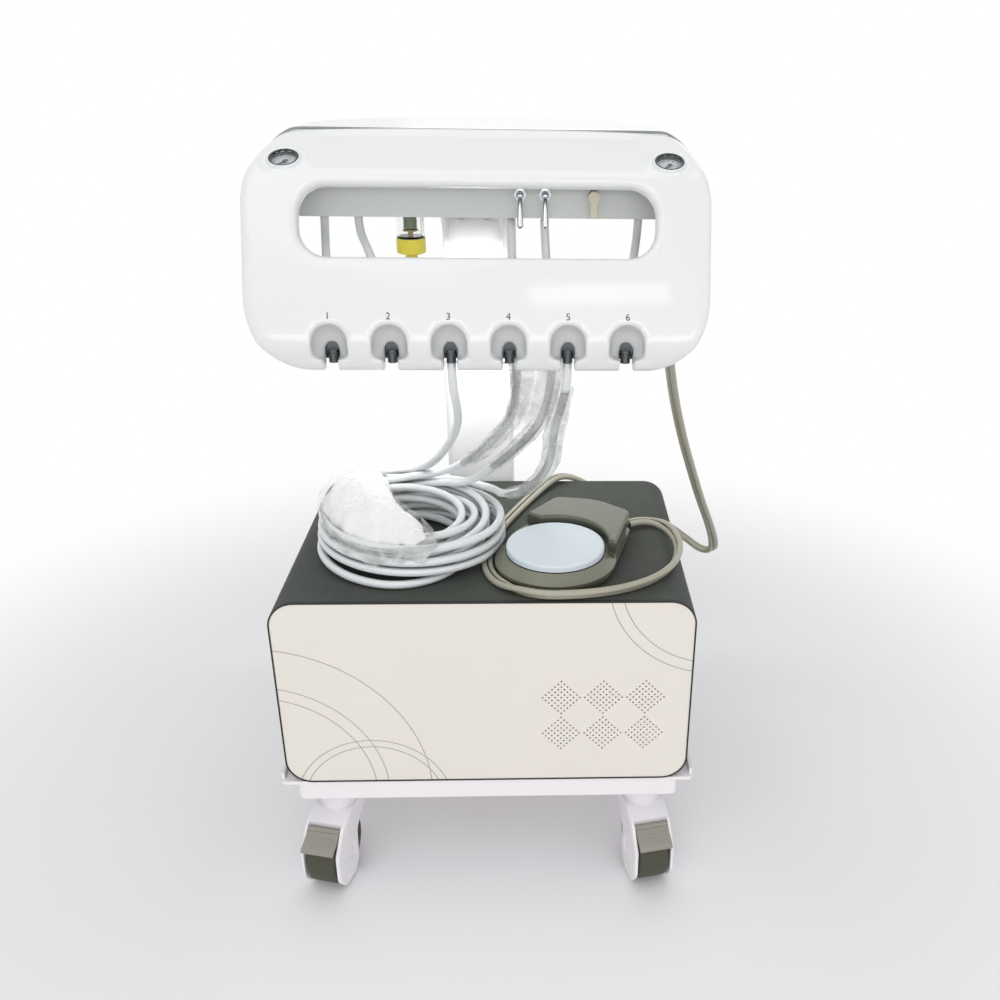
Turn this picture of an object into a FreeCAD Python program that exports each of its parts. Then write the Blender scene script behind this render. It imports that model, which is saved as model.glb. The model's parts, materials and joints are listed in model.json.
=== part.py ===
"""Portable dental unit: a cabinet on four casters, a telescopic column behind it and a moulded head.

The solids are modelled with the cabinet's front face at y = 0, its middle at x = 0 and the floor at
z = FLOOR. On export each one is moved by -MIDDLE_Y along y and -FLOOR along z, which puts the origin
on the floor under the middle of the unit. Lengths are millimetres, the front faces -Y and +X is to the viewer's right.
"""
import FreeCAD, Part
import math
import os

Vector = FreeCAD.Vector
UP = Vector(0, 0, 1)
ACROSS = Vector(1, 0, 0)
BACK = Vector(0, 1, 0)

# ---- driving dimensions ----
MIDDLE_Y = 159.3
FLOOR = 25.0

# Cabinet: a wrap-around cover between a front and a rear panel.
CABINET_HALF = 210.0
CABINET_BOTTOM = 161.0
CABINET_TOP = 378.0
CABINET_DEPTH = 297.0
CABINET_CORNER = 27.0
COVER_SHEET = 2.5
CABINET_FLOOR = CABINET_BOTTOM + COVER_SHEET
PANEL = 3.0
EDGE_STRIP = 1.7

# Base: a flat tray on an inverted sheet-metal frame.
TRAY_HALF = 217.5
TRAY_FRONT = 1.0
TRAY_LIP = 168.0
BASE_REAR = 352.0
TRAY_BOTTOM = 157.0
FRAME_HALF = 202.0
FRAME_FRONT = 2.5
FRAME_BOTTOM = 136.7
FRAME_SHEET = 2.5

# Casters, by height above the floor: stem places, and each one's swivel from straight forward.
CASTER_X = 167.0
CASTER_FRONT_Y = 33.0
CASTER_REAR_Y = 306.0
WHEEL_RADIUS = 37.5
WHEEL_WIDTH = 34.0
WHEEL_TRAIL = 22.0
AXLE_RADIUS = 5.0
STEM_RADIUS = 5.5
RUNNING_GAP = 0.05
HOOD_WIDTH = 44.0
HOOD_TOP = 88.0
HOOD_ROOM = WHEEL_WIDTH / 2 + 1.5
COLLAR_RADIUS = 19.5
STEM_LOW = 78.0
BRAKE_PIVOT = (-40.0, 75.0)
BRAKE_PIN = 2.0
CASTERS = {
    "front_left": (-CASTER_X, CASTER_FRONT_Y, -13.5),
    "front_right": (CASTER_X, CASTER_FRONT_Y, 11.5),
    "rear_left": (-CASTER_X, CASTER_REAR_Y, 9.0),
    "rear_right": (CASTER_X, CASTER_REAR_Y, -12.0),
}

# Column: an outer tube with a foot and a guide collar, and the mast that slides in it.
COLUMN_X = -17.0
COLUMN_Y = 324.0
COLUMN_WIDTH = 80.0
COLUMN_DEPTH = 42.0
COLUMN_TOP = 545.0
COLUMN_WALL = 3.0
MAST_GAP = 0.5
MAST_BOTTOM = 300.0
MAST_TOP = 768.0
COLLAR_TOP = 565.0
KNOB_Z = 551.0

# Head: a side profile across the width, cut by a front outline and a plan outline.
HEAD_HALF = 211.5
HEAD_WALL = 4.0
CHIN_LOW = (49.0, 591.5)
CHIN = (38.0, 620.0)
HEADER = (90.0, 763.5)
DECK_FRONT = (156.0, 796.0)
DECK_REAR = (303.0, 798.0)
DECK_LIP = 770.0
HEAD_LOW_CORNER = 66.0
HEAD_HIGH_CORNER = 60.0
HEAD_REAR_CORNER = 188.0
HEAD_CEILING = 800.0

# Window in the fascia, by its heights on the fascia's outer face.
WINDOW_HALF = 160.0
WINDOW_LOW = 696.0
WINDOW_HIGH = 754.0
WINDOW_CORNER = 25.0
WINDOW_RIM = 14.0
WINDOW_ROLL = 6.0

# Six holder scoops along the chin.
SCOOP_SPACING = 53.9
SCOOP_COUNT = 6
SCOOP_RADIUS = 16.0
SCOOP_Y = 42.0
SCOOP_FLOOR = 607.0
SCOOP_DOME = 624.0
SLOT_HALF = 5.8

# Gauges on the sloping top, beside the recess.
GAUGE_X = 173.0
GAUGE_SLIDE = 19.5
GAUGE_RADIUS = 13.4
BEZEL_RADIUS = 16.0

# Controls behind the window.
VALVE_PANEL_Y = 134.5
VALVE_PANEL_LOW = 719.0
TOGGLE_X = (37.0, 60.5)
TOGGLE_Z = 741.0
WATER_X = 106.0
WATER_Z = 740.0
FILTER = (-69.5, 153.0)

# Foot control, standing on the cabinet and turned a little; heights above the cabinet.
PEDAL = Vector(71.0, 71.5, CABINET_TOP)
PEDAL_TURN = -26.0
PEDAL_RADIUS = 62.5
PEDAL_DISC = 50.5
DISC_LOW = 20.5
DISC_HIGH = 27.5
HOOD_HIGH = 33.0
HOOD_REAR_HALF = 45.0
HOOD_REAR = 98.0
HOOD_BULGE = 12.0

# Loose handpiece hoses, their coil and the pedal's hose.
HOSE = 8.5
PEDAL_HOSE = 9.0
COIL = Vector(-81.0, 126.5, CABINET_TOP)
COIL_RADIUS = 75.0
COIL_HALF = 24.5
COIL_HEIGHT = 43.0


# ---- helpers ----
def unit(vector):
    """A copy of the vector with length one."""
    copy = Vector(vector)
    copy.normalize()
    return copy


def box(x, y, z):
    """A block between two values on each axis."""
    return Part.makeBox(x[1] - x[0], y[1] - y[0], z[1] - z[0], Vector(x[0], y[0], z[0]))


def rod(start, end, radius):
    """A round bar between two points."""
    along = Vector(end) - Vector(start)
    return Part.makeCylinder(radius, along.Length, Vector(start), along)


def ring(start, end, outer, inner):
    """A round tube between two points."""
    return rod(start, end, outer).cut(rod(start, end, inner))


def corner_arc(before, corner, after, radius):
    """Start, middle and end of the arc that rounds a corner."""
    a, b = unit(before - corner), unit(after - corner)
    half = a.getAngle(b) / 2
    centre = corner + unit(a + b) * (radius / math.sin(half))
    reach = radius / math.tan(half)
    return corner + a * reach, centre + unit(corner - centre) * radius, corner + b * reach


def rounded_wire(points, radii):
    """A closed wire through the points, each corner rounded by its radius (0 keeps it sharp)."""
    count = len(points)
    cuts = []
    for i, radius in enumerate(radii):
        here = points[i]
        if radius:
            cuts.append(corner_arc(points[i - 1], here, points[(i + 1) % count], radius))
        else:
            cuts.append((here, here, here))
    edges = []
    for i, (start, middle, end) in enumerate(cuts):
        following = cuts[(i + 1) % count][0]
        if radii[i]:
            edges.append(Part.Arc(start, middle, end).toShape())
        if (following - end).Length > 1e-6:
            edges.append(Part.LineSegment(end, following).toShape())
    return Part.Wire(edges)


def prism(points, radii, along):
    """A solid with a rounded outline, extruded along a vector."""
    if isinstance(radii, (int, float)):
        radii = [radii] * len(points)
    return Part.Face(rounded_wire(points, radii)).extrude(along)


def rectangle(half, low, high):
    """Corners of an upright or flat rectangle that is centred sideways."""
    return [(-half, low), (half, low), (half, high), (-half, high)]


def upright(pairs, y):
    """Points with x and z given, at one y."""
    return [Vector(x, y, z) for x, z in pairs]


def flat(pairs, z):
    """Points with x and y given, at one z."""
    return [Vector(x, y, z) for x, y in pairs]


def side_on(pairs, x):
    """Points with y and z given, at one x."""
    return [Vector(x, y, z) for y, z in pairs]


def fused(solids):
    """One solid from several that touch."""
    whole = solids[0].fuse(solids[1:]) if len(solids) > 1 else solids[0]
    return whole.removeSplitter()


def turned(shape, degrees, place):
    """A shape modelled at the origin, turned about the upright axis and moved to its place."""
    copy = shape.copy()
    copy.rotate(Vector(0, 0, 0), UP, degrees)
    copy.translate(place)
    return copy


# ---- cabinet ----
def cabinet_outline(inset, y, depth):
    """The cabinet's rounded front outline as a solid plate."""
    half = CABINET_HALF - inset
    pairs = rectangle(half, CABINET_BOTTOM + inset, CABINET_TOP - inset)
    return prism(upright(pairs, y), CABINET_CORNER - inset, BACK * depth)


def cabinet_cover():
    """The wrap-around cover, open at the front and the rear."""
    outer = cabinet_outline(0, PANEL, CABINET_DEPTH - 1.5 - PANEL)
    return outer.cut(cabinet_outline(COVER_SHEET, 0, CABINET_DEPTH))


VENT_CENTRES = [(x, z) for z in (220.7, 265.1) for x in (76.5, 119.6, 162.7)]
VENT_STEP = (3.15, 3.25)
VENT_ROWS = 7
VENT_HOLE = 1.35


def vent_holes():
    """The small square holes of six diamonds, as one tool that reaches through the panel."""
    holes = []
    reach = VENT_ROWS - 1
    for cx, cz in VENT_CENTRES:
        for i in range(VENT_ROWS):
            for j in range(VENT_ROWS):
                x = cx + (i - j) * VENT_STEP[0]
                z = cz + (i + j - reach) * VENT_STEP[1]
                hole = [(x - VENT_HOLE, z), (x, z - VENT_HOLE), (x + VENT_HOLE, z), (x, z + VENT_HOLE)]
                holes.append(prism(upright(hole, -1), 0, BACK * (PANEL + 2)))
    return Part.makeCompound(holes)


def front_panel():
    """The front panel with its six perforated diamonds, lying on the cover's front edge."""
    plate = cabinet_outline(EDGE_STRIP, 0, PANEL)
    tabs = [box((x - 8, x + 8), (PANEL, 16), (z - 1, z + 1)) for x in (-150, 0, 150) for z in (172, CABINET_TOP - 11)]
    return fused([plate] + tabs).cut(vent_holes())


def panel_seal():
    """The thin dark edge strip round the front panel."""
    outer = cabinet_outline(0, -0.5, PANEL + 0.5)
    return outer.cut(cabinet_outline(EDGE_STRIP, -1, PANEL + 2))


INLET = (-150.0, 205.0)
PORTS = ((150.0, 190.0), (110.0, 190.0))
PORT_RADIUS = 7.0


def rear_panel():
    """The rear panel with two louvred vents, the inlet's cut-out and two port holes."""
    y = CABINET_DEPTH - 3
    plate = cabinet_outline(COVER_SHEET, y, PANEL)
    cuts = [box((INLET[0] - 24, INLET[0] + 24), (y - 1, y + 4), (INLET[1] - 14, INLET[1] + 34))]
    cuts += [rod((x, y - 1, z), (x, y + 4, z), PORT_RADIUS) for x, z in PORTS]
    hoods = []
    for row in range(7):
        z = 262 + row * 12
        for x in (-135, 115):
            cuts.append(box((x - 45, x + 45), (y - 1, y + 4), (z, z + 4)))
            lip = side_on([(y + 2.5, z + 4.5), (y + 6, z), (y + 7, z + 0.5), (y + 2.5, z + 8)], x - 46)
            hoods.append(prism(lip, 0, ACROSS * 92))
    return fused([plate.cut(Part.makeCompound(cuts))] + hoods)


def power_inlet():
    """A mains inlet moulded in one with the frame of its rocker switch."""
    x, z = INLET
    y = CABINET_DEPTH
    flange = prism(upright([(x - 27, z - 17), (x + 27, z - 17), (x + 27, z + 37), (x - 27, z + 37)], y),
                   4, BACK * 2.5)
    body = box((x - 23.5, x + 23.5), (y - 28, y), (z - 13.5, z + 33.5))
    inlet = fused([flange, body])
    throat = prism(upright([(x - 12, z - 8), (x + 12, z - 8), (x + 12, z + 4), (x + 8, z + 8),
                            (x - 8, z + 8), (x - 12, z + 4)], y - 16), 0, BACK * 20)
    rocker_well = box((x - 11.2, x + 11.2), (y - 12, y + 4), (z + 14.8, z + 31.2))
    inlet = inlet.cut(throat.fuse(rocker_well))
    blades = [box((x + s - 1, x + s + 1), (y - 17, y - 2), (z - 2, z + 4)) for s in (-7, 7)]
    blades.append(box((x - 1, x + 1), (y - 17, y - 2), (z - 5, z + 1)))
    return fused([inlet] + blades)


def rocker_switch():
    """The rocker, a shallow wedge that tips about its middle."""
    x, z = INLET[0], INLET[1] + 23
    y = CABINET_DEPTH
    sides = [(y - 6, z - 7), (y + 1.5, z - 7.6), (y + 2.4, z), (y + 4.5, z + 7.2), (y - 6, z + 7)]
    return prism(side_on(sides, x - 10.7), 0, ACROSS * 21.4)


def rear_ports():
    """Two hose ports through the rear panel, one for air and one for drain."""
    y = CABINET_DEPTH
    ports = []
    for x, z in PORTS:
        body = rod((x, y - 20, z), (x, y + 14, z), PORT_RADIUS - RUNNING_GAP)
        nut = prism([Vector(x + 11 * math.cos(math.radians(a)), y, z + 11 * math.sin(math.radians(a)))
                     for a in range(0, 360, 60)], 0, BACK * 5)
        ports.append(fused([body, nut]).cut(rod((x, y - 10, z), (x, y + 15, z), 4)))
    return Part.makeCompound(ports)


def compressor_motor():
    """The oil-free compressor's motor, finned round its middle."""
    parts = [rod((-30, 150, 232), (60, 150, 232), 46)]
    parts += [ring((x, 150, 232), (x + 4, 150, 232), 52, 45) for x in range(-20, 56, 12)]
    feet = [box((x, x + 14), (100, 200), (CABINET_FLOOR, 196)) for x in (-24, 40)]
    return fused(parts + feet)


def compressor_heads():
    """Two cylinder heads, one at each end of the motor."""
    heads = []
    for x, out in ((-30, -1), (60, 1)):
        ends = sorted((x, x + 34 * out))
        crank = box(ends, (118, 182), (196, 270))
        middle = x + 17 * out
        cylinder = rod((middle, 150, 270), (middle, 150, 306), 15.5)
        head = box((middle - 16.5, middle + 16.5), (123, 177), (306, 322))
        heads.append(fused([crank, cylinder, head]))
    return Part.makeCompound(heads)


def air_tank():
    """The pressed-steel air tank with domed ends."""
    tank = rod((-85, 239, 215), (115, 239, 215), 36)
    ends = [Part.makeSphere(36, Vector(x, 239, 215)) for x in (-85, 115)]
    saddles = [box((x, x + 12), (216, 262), (CABINET_FLOOR, 186)) for x in (-60, 78)]
    return fused([tank] + ends + saddles)


def suction_pump():
    """The small diaphragm pump for suction."""
    motor = rod((-160, 70, 215), (-160, 140, 215), 26)
    head = box((-188, -132), (140, 172), (188, 244))
    foot = box((-182, -138), (74, 166), (CABINET_FLOOR, 192))
    return fused([motor, head, foot])


def control_board():
    """The relay board on its bracket."""
    plate = box((130, 132), (60, 170), (190, 300))
    blocks = [box((132, 150), (70 + 34 * i, 96 + 34 * i), (200, 226)) for i in range(3)]
    foot = box((118, 132), (60, 170), (CABINET_FLOOR, CABINET_FLOOR + 4))
    wall = box((130, 132), (60, 170), (CABINET_FLOOR, 191))
    return fused([plate, wall, foot] + blocks)


# ---- base and column ----
def base_tray():
    """The flat tray, with a raised lip along each side."""
    pairs = rectangle(TRAY_HALF, TRAY_FRONT, BASE_REAR)
    tray = prism(flat(pairs, TRAY_BOTTOM), 5, UP * (CABINET_BOTTOM - TRAY_BOTTOM))
    lips = []
    for side in (-1, 1):
        x = sorted((side * TRAY_HALF, side * (TRAY_HALF - 3)))
        lips.append(box(x, (TRAY_FRONT + 5, BASE_REAR - 5), (TRAY_BOTTOM + 1, TRAY_LIP)))
    return fused([tray] + lips)


def base_frame():
    """The inverted sheet-metal frame under the tray, with a boss for each caster."""
    height = TRAY_BOTTOM - FRAME_BOTTOM
    outer = prism(flat(rectangle(FRAME_HALF, FRAME_FRONT, BASE_REAR - 4), FRAME_BOTTOM), 8, UP * height)
    inner = prism(flat(rectangle(FRAME_HALF - FRAME_SHEET, FRAME_FRONT + FRAME_SHEET,
                                 BASE_REAR - 4 - FRAME_SHEET), FRAME_BOTTOM - 1),
                  8 - FRAME_SHEET, UP * (height + 1 - FRAME_SHEET))
    shell = outer.cut(inner)
    bosses = [rod((x, y, FRAME_BOTTOM), (x, y, TRAY_BOTTOM - 1), 23) for x, y, _ in CASTERS.values()]
    ribs = [box((-FRAME_HALF + 1, FRAME_HALF - 1), (y - 1.5, y + 1.5), (143, TRAY_BOTTOM - 1))
            for y in (CASTER_FRONT_Y, 170, CASTER_REAR_Y)]
    stems = [rod((x, y, FRAME_BOTTOM - 1), (x, y, TRAY_BOTTOM - 4), STEM_RADIUS + RUNNING_GAP)
             for x, y, _ in CASTERS.values()]
    return fused([shell] + bosses + ribs).cut(Part.makeCompound(stems))


def caster_stems():
    """The four swivel stems, fixed in the frame's bosses."""
    stems = []
    low = FLOOR + STEM_LOW
    for x, y, _ in CASTERS.values():
        pin = rod((x, y, low + 2), (x, y, TRAY_BOTTOM - 4), STEM_RADIUS)
        tip = rod((x, y, low), (x, y, low + 2), STEM_RADIUS - 1)
        stems.append(fused([pin, tip]))
    return Part.makeCompound(stems)


def tube_at_column(width, depth, low, high, radius):
    """An upright rounded bar on the column's axis."""
    pairs = [(COLUMN_X + a * width / 2, COLUMN_Y + b * depth / 2)
             for a, b in ((-1, -1), (1, -1), (1, 1), (-1, 1))]
    return prism(flat(pairs, low), radius, UP * (high - low))


def column_tube():
    """The outer column tube."""
    outer = tube_at_column(COLUMN_WIDTH, COLUMN_DEPTH, CABINET_BOTTOM, COLUMN_TOP, 8)
    bore = tube_at_column(COLUMN_WIDTH - 2 * COLUMN_WALL, COLUMN_DEPTH - 2 * COLUMN_WALL,
                          CABINET_BOTTOM - 1, COLUMN_TOP + 1, 5)
    return outer.cut(bore)


def mast_size():
    """Width and depth of the sliding mast."""
    less = 2 * (COLUMN_WALL + MAST_GAP)
    return COLUMN_WIDTH - less, COLUMN_DEPTH - less


def mast_tube():
    """The mast that slides in the column, closed by a cap at its top."""
    width, depth = mast_size()
    outer = tube_at_column(width, depth, MAST_BOTTOM, MAST_TOP, 5)
    bore = tube_at_column(width - 6, depth - 6, MAST_BOTTOM - 1, MAST_TOP - 4, 3)
    return outer.cut(bore)


def column_foot():
    """The cast foot that holds the column on the base: a plate, a sleeve and two webs."""
    plate = tube_at_column(132, 46, CABINET_BOTTOM, CABINET_BOTTOM + 6, 6)
    sleeve = tube_at_column(COLUMN_WIDTH + 10, 46.4, CABINET_BOTTOM + 5, CABINET_BOTTOM + 60, 10)
    webs = []
    for side in (-1, 1):
        x = COLUMN_X + side * (COLUMN_WIDTH / 2 + 4)
        edge = [(x, CABINET_BOTTOM + 5), (x + side * 20, CABINET_BOTTOM + 5), (x, CABINET_BOTTOM + 45)]
        webs.append(prism(upright(edge, COLUMN_Y - 3), 0, BACK * 6))
    body = fused([plate, sleeve] + webs)
    bore = tube_at_column(COLUMN_WIDTH, COLUMN_DEPTH, CABINET_BOTTOM - 1, CABINET_BOTTOM + 61, 8)
    screws = [rod((COLUMN_X + s * 57, COLUMN_Y + t, CABINET_BOTTOM + 5),
                  (COLUMN_X + s * 57, COLUMN_Y + t, CABINET_BOTTOM + 10), 5)
              for s in (-1, 1) for t in (-17, 17)]
    return fused([body.cut(bore)] + screws)


def column_collar():
    """The guide collar on top of the column, with a boss for the clamp knob."""
    width, depth = mast_size()
    outer = tube_at_column(COLUMN_WIDTH + 8, COLUMN_DEPTH + 8, COLUMN_TOP - 16, COLLAR_TOP, 11)
    top = [e for e in outer.Edges if e.BoundBox.ZMin > COLLAR_TOP - 0.01]
    outer = outer.makeFillet(3, top)
    seat = tube_at_column(COLUMN_WIDTH, COLUMN_DEPTH, COLUMN_TOP - 17, COLUMN_TOP, 8)
    bore = tube_at_column(width + 0.4, depth + 0.4, COLUMN_TOP - 17, COLLAR_TOP + 1, 5)
    right = COLUMN_X + COLUMN_WIDTH / 2
    boss = rod((right + 2, COLUMN_Y, KNOB_Z), (right + 12, COLUMN_Y, KNOB_Z), 9)
    screw = rod((right - 4, COLUMN_Y, KNOB_Z), (right + 13, COLUMN_Y, KNOB_Z), 4 + RUNNING_GAP)
    return fused([outer, boss]).cut(seat.fuse([bore, screw]))


def clamp_knob():
    """The lobed knob and its screw, which clamps the mast."""
    right = COLUMN_X + COLUMN_WIDTH / 2
    screw = rod((right - 1, COLUMN_Y, KNOB_Z), (right + 14, COLUMN_Y, KNOB_Z), 4)
    hub = rod((right + 13, COLUMN_Y, KNOB_Z), (right + 30, COLUMN_Y, KNOB_Z), 11)
    lobes = []
    for i in range(5):
        turn = math.radians(72 * i)
        y, z = COLUMN_Y + 12 * math.cos(turn), KNOB_Z + 12 * math.sin(turn)
        lobes.append(rod((right + 15, y, z), (right + 28, y, z), 6))
    return fused([screw, hub] + lobes)


# ---- casters, modelled with the stem at the origin, the floor at z = 0 and the wheel in front ----
def wheel_centre():
    return Vector(0, -WHEEL_TRAIL, WHEEL_RADIUS)


def across_caster(pairs, radii, half):
    """A side outline extruded to a half width on both sides of the wheel's middle."""
    return prism(side_on(pairs, -half), radii, ACROSS * (2 * half))


def caster_fork():
    """The hooded fork: two cheeks round the wheel, a top under the collar, and the axle."""
    half = HOOD_WIDTH / 2
    sides = [(20, HOOD_TOP), (18, 72), (-6, 54), (-8, 12), (-18, 3), (-44, 4), (-58, 22), (-58, 56),
             (-40, 80), (-16, HOOD_TOP)]
    hood = across_caster(sides, [4, 10, 16, 14, 8, 16, 18, 14, 14, 6], half)
    rims = [e for e in hood.Edges
            if e.BoundBox.XLength < 0.01 and abs(abs(e.BoundBox.XMin) - half) < 0.01]
    hood = hood.makeFillet(2, rims)
    collar = rod((0, 0, HOOD_TOP - 2), (0, 0, FRAME_BOTTOM - FLOOR - 0.5), COLLAR_RADIUS)
    slot = Part.makeCylinder(WHEEL_RADIUS + 2.5, 2 * HOOD_ROOM, wheel_centre() - ACROSS * HOOD_ROOM, ACROSS)
    mouth = across_caster([(-35.5, 95), (-80, 95), (-80, -5), (-35.5, -5)], 0, HOOD_ROOM)
    body = fused([hood, collar]).cut(slot.fuse(mouth))
    axle = Part.makeCylinder(AXLE_RADIUS, 2 * HOOD_ROOM + 2, wheel_centre() - ACROSS * (HOOD_ROOM + 1),
                             ACROSS)
    cuts = [rod((0, 0, STEM_LOW - 10), (0, 0, FRAME_BOTTOM), STEM_RADIUS + RUNNING_GAP)]
    for side in (-1, 1):
        start, end = sorted((side * (half - 2), side * (half + 1)))
        w = -WHEEL_TRAIL
        well = [(w - 7.5, 25.5), (w + 7.5, 25.5), (w + 7.5, 49.5), (w - 7.5, 49.5)]
        cuts.append(prism(side_on(well, start), 7, ACROSS * (end - start)))
        notch = [(-27, 62), (-21, 62), (-21, 74), (-27, 74)]
        cuts.append(prism(side_on(notch, start), 2.8, ACROSS * (end - start)))
    return fused([body, axle]).cut(Part.makeCompound(cuts))


def brake_sockets():
    """The two small bores in the cheeks that hold the brake's pins."""
    y, z = BRAKE_PIVOT
    return rod((-HOOD_ROOM - 2.5, y, z), (HOOD_ROOM + 2.5, y, z), BRAKE_PIN + RUNNING_GAP)


def caster_brake():
    """The foot brake: a flat lever between the cheeks, with a turned-down toe and ribs."""
    y, z = BRAKE_PIVOT
    half = HOOD_ROOM - 0.8
    sides = [(-42, 71.5), (-60.5, 62.5), (-62.5, 60.5), (-64.5, 63.5), (-62, 66.5), (-43.5, 75.3)]
    plate = across_caster(sides, [0, 0, 0, 1.2, 2, 0], half)
    hub = rod((-half, y, z), (half, y, z), 3.2)
    pin = rod((-HOOD_ROOM - 2, y, z), (HOOD_ROOM + 2, y, z), BRAKE_PIN)
    ribs = [rod((-half + 3, -57.5 + 4 * i, 68.0 + 1.95 * i), (half - 3, -57.5 + 4 * i, 68.0 + 1.95 * i), 1)
            for i in range(3)]
    return fused([plate, hub, pin] + ribs)


def caster_wheel():
    """The wheel: a rounded tread, dished sides and the axle's bore."""
    half, r = WHEEL_WIDTH / 2, WHEEL_RADIUS
    bore = AXLE_RADIUS + RUNNING_GAP
    outline = [(bore, -half), (12, -half), (13, -half + 4), (28, -half + 4), (30, -half), (r, -half),
               (r, half), (30, half), (28, half - 4), (13, half - 4), (12, half), (bore, half)]
    radii = [0, 0, 1, 1, 0, 5, 5, 0, 1, 1, 0, 0]
    points = [Vector(x, 0, z) for z, x in outline]
    wheel = Part.Face(rounded_wire(points, radii)).revolve(Vector(0, 0, 0), ACROSS, 360)
    wheel.translate(wheel_centre())
    return wheel


# ---- head ----
def head_profile(inset):
    """The side profile as a solid across the whole width; with an inset it is open below and behind."""
    if inset:
        lean = unit(Vector(0, HEADER[0] - CHIN[0], HEADER[1] - CHIN[1]))
        inward = Vector(0, lean.z, -lean.y) * inset
        slope = unit(Vector(0, DECK_FRONT[0] - HEADER[0], DECK_FRONT[1] - HEADER[1]))
        header = meet(Vector(0, *CHIN) + inward, lean, Vector(0, *HEADER) + below(slope, inset), slope)
        level = unit(Vector(0, DECK_REAR[0] - DECK_FRONT[0], DECK_REAR[1] - DECK_FRONT[1]))
        ridge = meet(header, slope, Vector(0, *DECK_FRONT) + below(level, inset), level)
        rear = meet(ridge, level, Vector(0, DECK_REAR[0] - inset, 0), UP)
        tuck = unit(Vector(0, CHIN[0] - CHIN_LOW[0], CHIN[1] - CHIN_LOW[1]))
        chin = meet(Vector(0, *CHIN_LOW) + below(tuck, inset), tuck, header, lean)
        low = meet(chin, tuck, Vector(0, 0, CHIN_LOW[1]), BACK)
        points = [low, chin, header, ridge, rear, Vector(0, rear.y, 500), Vector(0, low.y, 500)]
        radii = [0, 15 - inset, 14 - inset, 20, 12 - inset, 0, 0]
    else:
        sides = [CHIN_LOW, CHIN, HEADER, DECK_FRONT, DECK_REAR, (DECK_REAR[0], DECK_LIP),
                 (222, 742), (126, 612)]
        points = [Vector(0, y, z) for y, z in sides]
        radii = [5, 15, 14, 20, 12, 3, 60, 40]
    points = [p - ACROSS * (HEAD_HALF + 20) for p in points]
    return prism(points, radii, ACROSS * (2 * HEAD_HALF + 40))


def below(direction, distance):
    """A step at right angles under a line that runs towards the back."""
    return Vector(0, direction.z, -direction.y) * distance


def meet(p, along_p, q, along_q):
    """Where two lines in the side view cross."""
    across = along_p.y * along_q.z - along_p.z * along_q.y
    gap = q - p
    t = (gap.y * along_q.z - gap.z * along_q.y) / across
    return Vector(0, p.y + along_p.y * t, p.z + along_p.z * t)


def head_front(inset):
    """The front outline as a solid: wide low corners, tighter high ones."""
    half, low = HEAD_HALF - inset, CHIN_LOW[1] + inset
    if inset:
        flank = HEAD_HALF - HEAD_LOW_CORNER
        outline = rounded_wire(
            upright([(-flank, 480), (flank, 480), (flank, low), (half, low + HEAD_LOW_CORNER - inset),
                     (half, HEAD_CEILING - inset), (-half, HEAD_CEILING - inset),
                     (-half, low + HEAD_LOW_CORNER - inset), (-flank, low)], 0),
            [0, 0, 0, 0, HEAD_HIGH_CORNER - inset, HEAD_HIGH_CORNER - inset, 0, 0])
        core = Part.Face(outline).extrude(BACK * 400)
        rounds = [Part.makeCylinder(HEAD_LOW_CORNER - inset, 400,
                                    Vector(s * flank, 0, low + HEAD_LOW_CORNER - inset), BACK)
                  for s in (-1, 1)]
        return core.fuse(rounds)
    radii = [HEAD_LOW_CORNER, HEAD_LOW_CORNER, HEAD_HIGH_CORNER, HEAD_HIGH_CORNER]
    return prism(upright(rectangle(half, low, HEAD_CEILING), 0), radii, BACK * 400)


def head_plan(inset):
    """The plan outline as a solid: straight sides and wide rear corners."""
    half, rear = HEAD_HALF - inset, DECK_REAR[0] - inset
    radii = [0, 0, HEAD_REAR_CORNER - inset, HEAD_REAR_CORNER - inset]
    return prism(flat(rectangle(half, 0, rear), 480), radii, UP * 400)


def head_block(inset):
    """The head's outer form, or the form of its hollow."""
    return head_profile(inset).common(head_front(inset)).common(head_plan(inset))


def lean_vector():
    """Up the fascia."""
    return unit(Vector(0, HEADER[0] - CHIN[0], HEADER[1] - CHIN[1]))


def fascia_y(z):
    """The fascia's outer face at a height."""
    return CHIN[0] + (z - CHIN[1]) * (HEADER[0] - CHIN[0]) / (HEADER[1] - CHIN[1])


def window_block(grow, start, depth):
    """The window's outline, grown outwards and extruded square to the fascia."""
    inward = Vector(0, lean_vector().z, -lean_vector().y)
    up = lean_vector() * grow
    corners = []
    for x, z in rectangle(WINDOW_HALF + grow, WINDOW_LOW, WINDOW_HIGH):
        point = Vector(x, fascia_y(z), z) + (up if z == WINDOW_HIGH else up * -1)
        corners.append(point + inward * start)
    return prism(corners, WINDOW_CORNER + grow, inward * depth)


def scoop_places():
    """The middle of each holder scoop, from left to right."""
    first = -SCOOP_SPACING * (SCOOP_COUNT - 1) / 2
    return [first + SCOOP_SPACING * i for i in range(SCOOP_COUNT)]


def scoop(x, grow, floor):
    """A holder scoop: an upright half-round with a domed top, open to the front."""
    radius = SCOOP_RADIUS + grow
    top = rod((x, SCOOP_Y, floor), (x, SCOOP_Y, SCOOP_DOME), radius)
    dome = Part.makeSphere(radius, Vector(x, SCOOP_Y, SCOOP_DOME))
    front = box((x - radius, x + radius), (SCOOP_Y - 30, SCOOP_Y), (floor, SCOOP_DOME))
    arch = rod((x, SCOOP_Y - 30, SCOOP_DOME), (x, SCOOP_Y, SCOOP_DOME), radius)
    return fused([top, dome, front, arch])


def slope_along():
    """Up the head's sloping top."""
    return unit(Vector(0, DECK_FRONT[0] - HEADER[0], DECK_FRONT[1] - HEADER[1]))


def slope_out():
    """Square out of the head's sloping top."""
    return Vector(0, -slope_along().z, slope_along().y)


def slope_point(x, s, out):
    """A point on the slope: x across, s up the slope from the header edge, out above it."""
    return Vector(x, *HEADER) + slope_along() * s + slope_out() * out


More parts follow.
